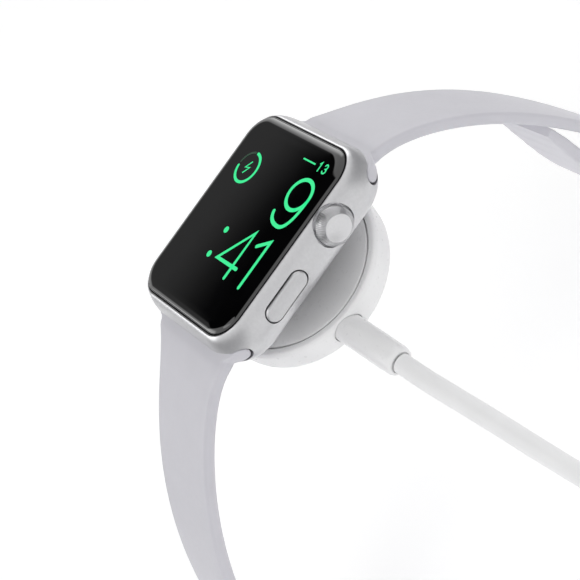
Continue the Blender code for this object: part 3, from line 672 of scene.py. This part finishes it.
def stroke(bm, points, width, seg=8):
    """A flat line with round ends and joints, as one closed slab through the points."""
    path = [Vector(p) for p in points]
    left, right = [], []
    for i, point in enumerate(path):
        ahead = (path[min(i + 1, len(path) - 1)] - point)
        behind = (point - path[max(i - 1, 0)])
        a = ahead.normalized() if ahead.length > 1e-9 else behind.normalized()
        b = behind.normalized() if behind.length > 1e-9 else a
        along = (a + b).normalized()
        across = Vector((-along.y, along.x)) * (width / 2 / max(0.5, along.dot(a)))
        left.append(point + across)
        right.append(point - across)
    outline = right + round_end(path[-1], path[-1] - path[-2], width, seg)
    outline += left[::-1] + round_end(path[0], path[0] - path[1], width, seg)
    low = [bm.verts.new((p.x, p.y, MARK_Z)) for p in outline]
    high = [bm.verts.new((p.x, p.y, MARK_Z + MARK_T)) for p in outline]
    for i in range(len(outline)):
        j = (i + 1) % len(outline)
        bm.faces.new((low[i], low[j], high[j], high[i]))
    for row in (low[::-1], high):
        bm.faces.new(row)
    return bm


def arc(centre, radius_x, radius_y, first, last, count=28, lean=0.0):
    """Points of an elliptic arc, its angles in degrees; lean shears it to the right."""
    points = []
    for i in range(count + 1):
        a = radians(first + (last - first) * i / count)
        y = radius_y * sin(a)
        points.append((centre[0] + radius_x * cos(a) + lean * y, centre[1] + y))
    return points


def bezier(a, b, c, d, count=16):
    points = []
    for i in range(count + 1):
        t = i / count
        u = 1 - t
        points.append(tuple(u ** 3 * p + 3 * u * u * t * q + 3 * u * t * t * r + t ** 3 * s
                            for p, q, r, s in zip(a, b, c, d)))
    return points


def mark(name, strokes, width, look=None):
    bm = bmesh.new()
    for points in strokes:
        stroke(bm, points, width)
    piece(name, bm, "glass_black", "watch", smooth=30, look=look or lit_display())


def digit_one(x, y, height):
    return [[(x - 0.42 * height / 2, y + height * 0.79), (x, y + height), (x, y)]]


def digit_three(x, y, height):
    upper = arc((x, y + height * 0.75), height * 0.24, height * 0.25, 160, -90, 14)
    lower = arc((x, y + height * 0.26), height * 0.29, height * 0.26, 90, -160, 14)
    return [upper + lower[1:]]


def make_dial():
    nine = [arc((10.15, 8.2), 2.95, 2.8, -62, 298, 48),
            bezier((13.1, 8.0), (13.1, 4.6), (12.2, 2.1), (10.2, 2.1)) +
            bezier((10.2, 2.1), (8.6, 2.1), (7.2, 2.6), (6.75, 4.0), 10)[1:]]
    mark("dial_hour", nine, 0.7)
    four = [[(6.35, -9.35), (6.35, -0.55), (1.0, -7.15), (7.75, -7.15)]]
    one = [[(8.75, -2.3), (11.45, -0.6), (11.45, -9.35)]]
    mark("dial_minutes", four + one, 0.68)
    mark("dial_colon", [[(-1.62, -2.62), (-1.62, -2.61)], [(-1.62, -7.42), (-1.62, -7.41)]], 1.2)
    foot, height = 12.95, 1.6
    date = [[(4.95, 13.75), (8.6, 13.75)]]
    date += digit_one(10.25, foot, height) + digit_three(11.85, foot, height)
    mark("dial_date", date, 0.27)
    centre = (-7.65, 8.05)
    mark("charge_ring", [arc(centre, 2.85, 2.85, 84, -172, 56)], 0.55)
    mark("charge_track", [arc(centre, 2.85, 2.85, 100, 172, 18)], 0.4, unlit_display())
    x, y = centre
    bolt = [[(x + 0.32, y + 1.15), (x - 0.62, y - 0.12), (x + 0.62, y + 0.12), (x - 0.32, y - 1.15)]]
    mark("charge_bolt", bolt, 0.26)


# ---------------------------------------------------------------- crown and buttons

def crown_bmesh():
    """Cap whose rounded shoulder carries fine teeth, fading out at the rim and at the plain face."""
    steps = CROWN_TEETH * 6
    rows = [(1.9, 0.0, 0), (CROWN_R - 0.14, 0.0, 0), (CROWN_R - 0.04, 0.04, 0), (CROWN_R, 0.14, 0),
            (CROWN_R, 0.62, 0), (CROWN_R, 0.72, 1), (CROWN_R - 0.03, 0.9, 1), (CROWN_R - 0.12, 1.14, 1),
            (CROWN_R - 0.27, 1.37, 1), (CROWN_R - 0.47, 1.58, 1), (CROWN_R - 0.68, 1.75, 1),
            (CROWN_R - 0.88, 1.88, 1), (2.42, 1.95, 0.6), (2.37, 1.99, 0)]
    bm = bmesh.new()
    rings = []
    for radius, z, depth in rows:
        ring = []
        for i in range(steps):
            phase = (i % 6) / 6
            groove = max(0.0, cos(2 * pi * phase)) ** 0.8 if depth else 0.0
            r = radius - 0.15 * depth * groove
            a = 2 * pi * i / steps
            ring.append((r * cos(a), r * sin(a), z - 0.1 * depth * groove))
        rings.append(ring)
    for radius, z in ((2.3, 2.02), (2.2, 2.04), (1.9, 2.08), (1.5, 2.12), (1.0, 2.15),
                      (0.5, 2.17), (0.12, 2.175)):
        rings.append(circle(radius, z, steps))
    return along_x(loft(rings, bm=bm), *CROWN)


def make_crown():
    look = turned_aluminium()
    piece("crown_knob", crown_bmesh(), "aluminium", "crown", ["crown_cap"], smooth=28, look=look)
    rim = RECESS_R - 0.12
    washer = rounded_profile([(1.55, -0.26), (rim, -0.26), (rim, -0.05), (2.4, -0.05), (2.4, -0.12),
                              (1.55, -0.12), (1.55, -0.26)], 0.04, 2)[:-1]
    bm = along_x(turned(washer, 72, loop=True), *CROWN)
    piece("crown_washer", bm, "steel", "watch", smooth=40)


def make_button():
    rings = []
    for inset, x in ((0.35, -1.35), (0.05, -1.3), (0.0, -1.2), (0.0, -0.24), (0.02, -0.2), (0.24, 0.03),
                     (0.28, 0.045), (0.34, 0.05), (0.6, 0.035), (0.9, 0.01), (1.2, -0.01)):
        rings.append(pill_ring(BUTTON_LENGTH - 2 * inset, BUTTON_WIDTH - 2 * inset, x, 24))
    bm = shifted(loft(rings), *BUTTON)
    piece("side_button_cap", bm, "aluminium", "side_button", ["side_button"], smooth=40)


# ---------------------------------------------------------------- band

def strap_angle(strap, s):
    """The moulded bend up to its end; then the short strap runs straight, the long one curls."""
    bent = min(max(s, 0.0), strap["bend_end"])
    angle = strap["angle"] + strap["rate"] * bent + strap["ease"] * bent * bent
    if s > strap["bend_end"] and "curl" in strap:
        angle = min(180.0, angle + degrees((s - strap["bend_end"]) / strap["curl"]))
    return angle


def bend_path(strap, step=0.25):
    """Stations (s, y, z, angle) of a strap's centre line, angle below the horizontal."""
    y, z = strap["start"]
    stations = []
    for i in range(int(round(strap["length"] / step)) + 1):
        s = i * step
        stations.append((s, y, z, strap_angle(strap, s)))
        middle = strap_angle(strap, s + step / 2)
        y += step * cos(radians(middle))
        z -= step * sin(radians(middle))
    return stations


def set_curl():
    """Radius of the long strap's last bend, on which it heads round to lie flat on the table."""
    last = [row for row in bend_path(BOTTOM_STRAP) if row[0] <= BOTTOM_STRAP["bend_end"]][-1]
    drop = last[2] - TABLE - STRAP_T / 2
    BOTTOM_STRAP["curl"] = drop / (cos(radians(last[3])) + 1)


def station_at(path, s):
    return min(path, key=lambda row: abs(row[0] - s))


def strap_half_width(strap, s):
    half = STRAP_TIP_HALF + strap["root"] * exp(-max(s, 0.0) / strap["decay"])
    left = strap["length"] - s
    if left < STRAP_END_TAPER:
        half *= sqrt(max(0.0, 1 - (1 - left / STRAP_END_TAPER) ** 2)) * 0.985 + 0.015
    return half


def flat_section(half, thick, seg=6):
    """Soft-edged flat section as (x, offset along the outward normal), its faces faintly crowned."""
    radius = min(0.62, thick * 0.36, half * 0.9)
    points = []
    for x, n, _ in rounded_ring(half, thick / 2, radius, 0, seg, 6):
        crown = 0.05 * (1 - (x / half) ** 2) if half > 2 else 0.0
        points.append((x, n + (crown if n > 0 else -crown)))
    return points


def end_contour(y):
    """Half width of the case outline at a distance y from its middle, at the height of the slots."""
    half_x, half_y, corner = case_section(SLOT_Z)
    past = min(corner, max(0.0, y - (half_y - corner)))
    return half_x - corner + sqrt(corner ** 2 - past ** 2) - LUG_END_GAP


def lug_half_width(y, root):
    """Flush with the curved side of the case in the slot, easing to the strap's root outside it."""
    flush = end_contour(y)
    return (flush ** 20 + root ** 20) ** 0.05


def band_rings(strap):
    """Rings from the round inner end of the lug, out of the slot, along the strap to its tip."""
    side = strap["side"]
    y1, z1 = strap["start"]
    lead = atan2(SLOT_Z - z1, y1 - SLOT_Y)
    run = sqrt((y1 - SLOT_Y) ** 2 + (z1 - SLOT_Z) ** 2)
    rings = []

    def ring(y, z, angle, half, thick):
        section = flat_section(half, thick)
        rings.append([(x, side * (y + n * sin(angle)), z + n * cos(angle)) for x, n in section])

    for i in range(10):
        u = LUG_R * (1 - cos(radians(4 + 86 * i / 9)))
        thick = 2 * sqrt(max(0.0, LUG_R ** 2 - (LUG_R - u) ** 2))
        back = u - LUG_R
        y = SLOT_Y + back * cos(lead)
        half = end_contour(y) - 0.5 * (1 - thick / (2 * LUG_R)) ** 1.5
        ring(y, SLOT_Z - back * sin(lead), lead, half, thick)
    root = strap_half_width(strap, 0.0)
    for i in range(1, 15):
        t = i / 15
        blend = t * t * (3 - 2 * t)
        half = lug_half_width(SLOT_Y + t * run * cos(lead), root)
        angle = lead + (radians(strap["angle"]) - lead) * blend
        thick = 2 * LUG_R + (STRAP_T + 0.12 - 2 * LUG_R) * blend
        ring(SLOT_Y + t * run * cos(lead), SLOT_Z - t * run * sin(lead), angle, half, thick)
    path = bend_path(strap)
    tip = STRAP_END_TAPER
    places = [0.25 + 0.75 * i for i in range(int((strap["length"] - tip) / 0.75))]
    places += [strap["length"] - tip * (1 - sin(radians(90 * i / 22))) for i in range(23)]
    for s in places:
        _, y, z, angle = station_at(path, s)
        thick = STRAP_T + 0.12 * exp(-s / 3.0)
        ring(y, z, radians(angle), strap_half_width(strap, s), thick)
    return rings


def on_strap(strap, s):
    """Frame at a station whose Z runs along the outward normal of the strap."""
    _, y, z, angle = station_at(bend_path(strap), s)
    normal = Vector((0, strap["side"] * sin(radians(angle)), cos(radians(angle))))
    turn = Vector((0, 0, 1)).rotation_difference(normal).to_matrix().to_4x4()
    return Matrix.Translation((0, strap["side"] * y, z)) @ turn


def placed(bm, matrix):
    bmesh.ops.transform(bm, verts=bm.verts, matrix=matrix)
    return bm


def strap_hinge_span(strap):
    """Points across the root of a strap."""
    side = strap["side"]
    return to_row(0, side * 19.9, -5.9), to_row(0, side * 25.5, -8.8)


def strap_hole(strap, s, radius, depth):
    """Cutter for a round hole, turned by half a side so that no corner lies on the middle line."""
    turn = Matrix.Rotation(pi / 48, 4, "Z")
    return placed(disc(radius, -depth, 3, 48), on_strap(strap, s) @ turn)


def make_strap(strap, word, cuts):
    lug, band = "lug_" + word, "strap_" + word
    body = (lug, band, *strap_hinge_span(strap))
    piece("band_" + word, loft(band_rings(strap)), "elastomer", body, [lug, band], smooth=38, cuts=cuts)


def make_band():
    make_strap(TOP_STRAP, "top", [strap_hole(TOP_STRAP, PIN_AT, PIN_HOLE_R, 0.6)])
    make_strap(BOTTOM_STRAP, "bottom", [strap_hole(BOTTOM_STRAP, s, HOLE_R, 3) for s in HOLES])


def make_keeper():
    """Band bowed inwards from the short strap, under which the long strap's tail is tucked."""
    path = bend_path(TOP_STRAP)
    rings = []
    count = 64
    for i in range(count + 1):
        part = i / count
        s = LOOP_START + (LOOP_END - LOOP_START) * part
        _, y, z, angle = station_at(path, s)
        a = radians(angle)
        sink = 0.45 * (abs(2 * part - 1) ** 10)
        thick = LOOP_T * (1 - 0.35 * abs(2 * part - 1) ** 8)
        rise = (STRAP_T + LOOP_T) / 2 + 0.3 + LOOP_BOW * sin(pi * part) ** 1.25 - sink - 0.18
        cy, cz = y - rise * sin(a), z - rise * cos(a)
        section = flat_section(strap_half_width(TOP_STRAP, s) - 0.05, thick)
        rings.append([(x, cy + n * sin(a), cz + n * cos(a)) for x, n in section])
    piece("keeper_band", loft(rings), "elastomer", "strap_top", ["tuck_loop"], smooth=38)


def make_pin():
    profile = rounded_profile([(0, -0.35), (1.5, -0.35), (1.5, 1.75), (2.35, 2.2), (2.45, 2.6), (2.25, 3.0),
                               (1.7, 3.1), (1.5, 3.02), (0, 3.02)], 0.14, 3)
    bm = placed(turned(profile, 72), on_strap(TOP_STRAP, PIN_AT))
    piece("pin_stud", bm, "aluminium", "strap_top", ["closure_pin"], smooth=40, look=turned_aluminium())


# ---------------------------------------------------------------- charger

def puck_frame():
    turn = Matrix.Rotation(radians(TILT), 4, "Y")
    return Matrix.Translation(HINGE) @ turn @ Matrix.Translation((0, 0, PUCK_FACE))


def puck_to_watch(x, y, z):
    return puck_frame() @ Vector((x, y, z))


def collar_profile():
    """Sleeve with a rounded mouth and a shallow socket round the cord."""
    back, front, bore = COLLAR_START, COLLAR_END, CORD_D / 2
    return [(0, back), (COLLAR_R - 0.1, back), (COLLAR_R, back + 0.1), (COLLAR_R, front - 5.0),
            (COLLAR_R - 0.03, front - 1.2), (COLLAR_R - 0.1, front - 0.6),
            (COLLAR_R - 0.25, front - 0.2), (COLLAR_R - 0.5, front), (bore + 0.12, front),
            (bore + 0.1, front - 0.5), (0, front - 0.5)]


def make_charger():
    place = puck_frame() @ Matrix.Translation((PUCK_CENTRE, 0, 0))
    cup = rounded_profile([(0, -PUCK_T), (14.2, -PUCK_T), (16.1, -PUCK_T + 0.25),
                           (16.6, -PUCK_T + 0.8), (PUCK_R, -PUCK_T + 1.6), (PUCK_R, -0.9),
                           (16.5, -0.22), (16.2, -0.02), (15.45, 0.0), (15.25, -0.2), (15.2, -1.5),
                           (14.5, -1.5), (14.5, -4.9), (0, -4.9)], 0.25, 5)
    port = along_x(disc(COLLAR_R + 0.15, 12.0, 24.0, 64), 0, COLLAR_Y, COLLAR_Z)
    piece("puck_housing", placed(turned(cup, 144), place), "white_plastic", "charger", ["charger_housing"],
          smooth=35, cuts=[placed(port, place)], soft=0.08)
    dish = [(0, -1.56), (2.0, -1.54), (4.0, -1.46), (6.0, -1.32), (8.0, -1.12), (10.0, -0.87),
            (11.5, -0.66), (12.8, -0.47), (13.8, -0.35), (14.5, -0.29), (14.8, -0.28), (14.96, -0.36),
            (15.0, -0.55), (14.95, -1.2), (14.2, -1.2), (14.2, -2.0), (8.0, -2.3), (0, -2.4)]
    bm = placed(turned(dish, 144), place)
    piece("puck_dish", bm, "white_plastic", "charger", ["charger_dish"], smooth=35)
    bm = placed(along_x(turned(collar_profile(), 72), 0, COLLAR_Y, COLLAR_Z), place)
    return piece("strain_collar", bm, "white_plastic", "charger", ["cord_collar"], smooth=35)


# ---------------------------------------------------------------- cord

def cord_route():
    """Listed points from the collar's end down to the table and up to the coil."""
    start = puck_to_watch(PUCK_CENTRE + COLLAR_END + 0.3, COLLAR_Y, COLLAR_Z)
    second = puck_to_watch(PUCK_CENTRE + COLLAR_END + 6.0, COLLAR_Y, COLLAR_Z)
    return [start, second, (38.3, -3.7, -27.0), (45.0, -3.35, -30.0), (51.5, -3.0, -34.2),
            (57.5, -2.5, -39.4), (62.8, -1.8, -45.2), (67.6, -0.5, -51.4), (72.3, 1.2, -57.4),
            (77.2, 2.95, -62.8), (82.0, 4.45, CORD_REST + 3.3), (87.2, 5.6, CORD_REST + 0.55),
            (COIL_CENTRE[0] - COIL_CLEAR, CORD_LANE, CORD_REST),
            (COIL_CENTRE[0] - COIL_CLEAR / 2, CORD_LANE, CORD_REST)]


def coil_route(per_turn=24):
    """Clockwise from the far side: inwards along the table, up, and outwards on top."""
    points = []
    count = int(COIL_TURNS * per_turn)
    half_turns = COIL_TURNS / 2
    for i in range(count + 1):
        t = COIL_TURNS * i / count
        radius = COIL_R - COIL_EDGE + TURN_PITCH * abs(t - half_turns)
        climb = min(1.0, max(0.0, (t - half_turns) / 0.24 + 0.5))
        a = radians(90 - 360 * t)
        points.append((COIL_CENTRE[0] + radius * cos(a), COIL_CENTRE[1] + radius * sin(a),
                       CORD_REST + TURN_PITCH * climb * climb * (3 - 2 * climb)))
    return points


def tail_route():
    x = PLUG_X
    y = COIL_CENTRE[1]
    upper = CORD_REST + TURN_PITCH
    level = TABLE + 0.05 + PLUG_HEIGHT / 2
    return [(x, y - 6.0, upper - 0.25), (x, y - COIL_CLEAR, upper - 1.45), (x, y - 16.2, upper - 1.85),
            (x, y - 18.4, level + 0.1), (x, y - 20.6, level), (x, y - 22.0, level)]


def smooth_points(route, spacing):
    """Catmull-Rom curve through a route, read at an even spacing."""
    points = [Vector(p) for p in route]
    padded = [points[0] * 2 - points[1]] + points + [points[-1] * 2 - points[-2]]
    dense = []
    for a, b, c, d in zip(padded, padded[1:], padded[2:], padded[3:]):
        for i in range(12):
            t = i / 12
            dense.append(0.5 * (2 * b + (c - a) * t + (2 * a - 5 * b + 4 * c - d) * t ** 2
                                + (3 * b - a - 3 * c + d) * t ** 3))
    dense.append(points[-1])
    lengths = np.concatenate([[0], np.cumsum([(q - p).length for p, q in zip(dense, dense[1:])])])
    wanted = np.linspace(0, lengths[-1], max(2, int(round(lengths[-1] / spacing))) + 1)
    columns = [np.interp(wanted, lengths, [p[k] for p in dense]) for k in range(3)]
    return [Vector(p) for p in zip(*columns)]


def tube(points, radius, sides=20):
    """Round tube along points, its frame carried on without twisting."""
    rings = []
    across = None
    for i, point in enumerate(points):
        along = (points[min(i + 1, len(points) - 1)] - points[max(i - 1, 0)]).normalized()
        across = Vector((0, 0, 1)).cross(along) if across is None else across - along * across.dot(along)
        across.normalize()
        up = along.cross(across)
        angles = [2 * pi * k / sides for k in range(sides)]
        rings.append([tuple(point + across * radius * cos(a) + up * radius * sin(a)) for a in angles])
    return loft(rings)


def make_cord():
    plug = make_plug()
    points = smooth_points(cord_route() + coil_route() + tail_route(), 1.3)
    span = (to_row(*points[0]), to_row(*CORD_BEND_END))
    cable = piece("charging_cord", tube(points, CORD_D / 2), "cord_white", ("charger", "watch", *span),
                  ["cord_run", "cord_coil", "cord_tail"], smooth=50)


def plug_ring(y, half_x, half_z, radius, seg=6):
    return [(x, y, z) for x, z, _ in rounded_ring(half_x, half_z, radius, 0, seg)]


def contact_strips(x, y, z):
    bm = bmesh.new()
    for i in range(4):
        strip = block((x - 3.75 + 2.5 * i, y - 21.2, z - 0.2), (1.1, 6.6, 0.16), 0.1, 3, 0.03)
        mesh = bpy.data.meshes.new("strip")
        strip.to_mesh(mesh)
        strip.free()
        bm.from_mesh(mesh)
    return bm


def make_plug():
    """Plug in three pieces: moulded sleeve, folded shell with two windows, and contact tongue."""
    x = PLUG_X
    y = COIL_CENTRE[1] - PLUG_DROP
    z = TABLE + 0.05 + PLUG_HEIGHT / 2
    sleeve = [plug_ring(a, 7.8 + grow, 3.0 + grow, 1.6 + grow)
              for a, grow in ((0.0, -1.05), (-0.15, -0.75), (-0.45, -0.4), (-0.9, -0.12), (-1.5, 0.0),
                              (-12.6, 0.0), (-13.0, -0.06), (-13.25, -0.2), (-13.4, -0.45))]
    bm = shifted(loft(sleeve), x, y, z)
    body = piece("plug_grip", bm, "white_plastic", "watch", ["plug_sleeve"], smooth=40)
    outer = [plug_ring(a, 6.0 - inset, 2.25 - inset, 0.45)
             for a, inset in ((-13.7, 0.0), (-25.6, 0.0), (-25.7, 0.08))]
    inner = [plug_ring(a, 5.65, 1.9, 0.3) for a in (-25.7, -14.5)]
    windows = [shifted(loft([rounded_ring(1.1, 1.25, 0.25, height, 4) for height in (0.0, 4.0)]),
                       x + offset, y - 19.5, z) for offset in (-2.6, 2.6)]
    shell = piece("plug_jacket", shifted(loft(outer + inner), x, y, z), "steel", "watch", ["plug_shell"],
                  smooth=30, cuts=windows)
    slab = block((x, y - 20.0, z + 0.6), (10.2, 10.0, 1.5), 0.2)
    tongue = piece("plug_insert", slab, "white_plastic", "watch", ["plug_tongue"], smooth=35)
    contacts = piece("plug_contacts", contact_strips(x, y, z), "copper", "watch", smooth=35)
    return [body, shell, tongue, contacts]


# ---------------------------------------------------------------- pieces kept from the model

def make_sensor_back():
    """Domed back window with a ring round it; the four round optical ports under it are not built here."""
    dome = [(0, -10.55)] + [(8.3 * i / 16, -10.55 + 0.75 * (i / 16) ** 2) for i in range(1, 16)]
    dome += [(8.2, -9.84), (8.3, -9.7), (8.3, -9.35), (8.2, -9.3), (0, -9.3)]
    piece("back_window_dome", turned(dome, 96), "back_lens", "watch", ["back_crystal"], smooth=40)
    plate = [rounded_ring(hx, hy, 3.6, z, 12) for hx, hy, z in
             ((10.72, 13.32, -9.1), (10.75, 13.35, -9.3), (10.7, 13.3, -9.42), (10.55, 13.15, -9.47))]
    piece("back_plate", loft(plate), "back_plate", "watch", ["back_cover"], smooth=40,
          cuts=[disc(8.6, -12, -5, 96)], soft=0.06)


def paint_kept_nodes():
    """Inner pieces keep their modelled shapes and get full materials."""
    slots = {part["node"]: part["material_slot"] for part in frame["record"]["subparts"]}
    for name, obj in frame["nodes"].items():
        if obj.hide_render:
            continue
        look = finish_of(slots[name])
        if obj.material_slots:
            for holder in obj.material_slots:
                holder.material = look
        else:
            obj.data.materials.append(look)


# ---------------------------------------------------------------- studio

def make_floor():
    bm = bmesh.new()
    size, level = 9000.0, TABLE - 0.02
    corners = ((-size, -size), (size, -size), (size, size), (-size, size))
    bm.faces.new([bm.verts.new((x, y, level)) for x, y in corners])
    obj = raw_object("studio_floor", bm)
    obj.data.materials.append(pale_floor_painted_glow())


class Sky:
    """World radiance worked out from the direction looked in."""

    def __init__(self):
        world = bpy.data.worlds.new("studio")
        bpy.context.scene.world = world
        world.use_nodes = True
        self.tree = world.node_tree
        place = self.tree.nodes.new("ShaderNodeTexCoord")
        split = self.tree.nodes.new("ShaderNodeSeparateXYZ")
        self.tree.links.new(place.outputs["Generated"], split.inputs[0])
        self.x, self.y, self.z = split.outputs
        self.side = self.math("ABSOLUTE", self.y)

    def math(self, operation, *values):
        node = self.tree.nodes.new("ShaderNodeMath")
        node.operation = operation
        for socket, value in zip(node.inputs, values):
            if isinstance(value, bpy.types.NodeSocket):
                self.tree.links.new(value, socket)
            else:
                socket.default_value = value
        return node.outputs[0]

    def step(self, value, none, full):
        """0 at none, 1 at full, smooth between."""
        node = self.tree.nodes.new("ShaderNodeMapRange")
        node.interpolation_type = "SMOOTHSTEP"
        self.tree.links.new(value, node.inputs["Value"])
        flip = full < none
        node.inputs["From Min"].default_value = min(none, full)
        node.inputs["From Max"].default_value = max(none, full)
        node.inputs["To Min"].default_value = 1.0 if flip else 0.0
        node.inputs["To Max"].default_value = 0.0 if flip else 1.0
        return node.outputs[0]

    def times(self, *values):
        result = values[0]
        for value in values[1:]:
            result = self.math("MULTIPLY", result, value)
        return result

    def lerp(self, a, b, mask):
        """a where the mask is 0, b where it is 1."""
        return self.math("ADD", self.math("MULTIPLY", self.math("SUBTRACT", 1.0, mask), a),
                         self.math("MULTIPLY", mask, b))


def make_world():
    """White dome with a dark strip over the watch and a bright panel on each side behind it."""
    sky = Sky()
    strip = sky.times(sky.step(sky.y, 0.24, 0.15), sky.step(sky.y, -0.54, -0.44),
                      sky.step(sky.z, 0.30, 0.40), sky.step(sky.x, 0.66, 0.50))
    behind = sky.times(sky.step(sky.x, -0.25, -0.5), sky.step(sky.z, -0.15, -0.05),
                       sky.step(sky.z, 0.62, 0.40))
    sides = sky.math("MAXIMUM", sky.step(sky.y, 0.24, 0.58), sky.step(sky.y, -0.46, -0.58))
    panels = sky.times(behind, sides)
    grey = sky.math("MULTIPLY", sky.step(sky.z, 0.548, 0.512), 0.19)
    radiance = sky.lerp(0.98, 2.6, panels)
    radiance = sky.lerp(radiance, grey, strip)
    shader = sky.tree.nodes["Background"]
    sky.tree.links.new(radiance, shader.inputs["Strength"])
    shader.inputs["Color"].default_value = (1.0, 1.0, 1.0, 1.0)


def make_lamp(name, place, target, size, power):
    lamp = bpy.data.lights.new(name, "AREA")
    lamp.shape = "DISK"
    lamp.size = size
    lamp.energy = power
    obj = bpy.data.objects.new(name, lamp)
    bpy.context.collection.objects.link(obj)
    obj.location = place
    direction = Vector(target) - Vector(place)
    obj.rotation_euler = direction.to_track_quat("-Z", "Y").to_euler()


def make_camera():
    camera = bpy.data.cameras.new("camera")
    camera.lens = LENS
    camera.sensor_width = SENSOR
    camera.clip_start = 0.01
    camera.clip_end = 50.0
    obj = bpy.data.objects.new("camera", camera)
    bpy.context.collection.objects.link(obj)
    right, up = Vector(CAMERA_RIGHT).normalized(), Vector(CAMERA_UP).normalized()
    back = right.cross(up)
    turn = Matrix((right, up, back)).transposed().to_4x4()
    obj.matrix_world = Matrix.Translation(to_row(*CAMERA_AT)) @ turn
    bpy.context.scene.camera = obj


def main():
    set_curl()
    make_camera()
    collar = make_charger()
    make_cord()
    make_case()
    make_glass()
    make_dial()
    make_crown()
    make_button()
    make_band()
    make_keeper()
    make_pin()
    make_sensor_back()
    paint_kept_nodes()
    make_floor()
    make_world()
    make_lamp("key", LAMP_AT, LAMP_TARGET, LAMP_SIZE, LAMP_POWER)
    bpy.context.scene.view_settings.view_transform = "Standard"


main()
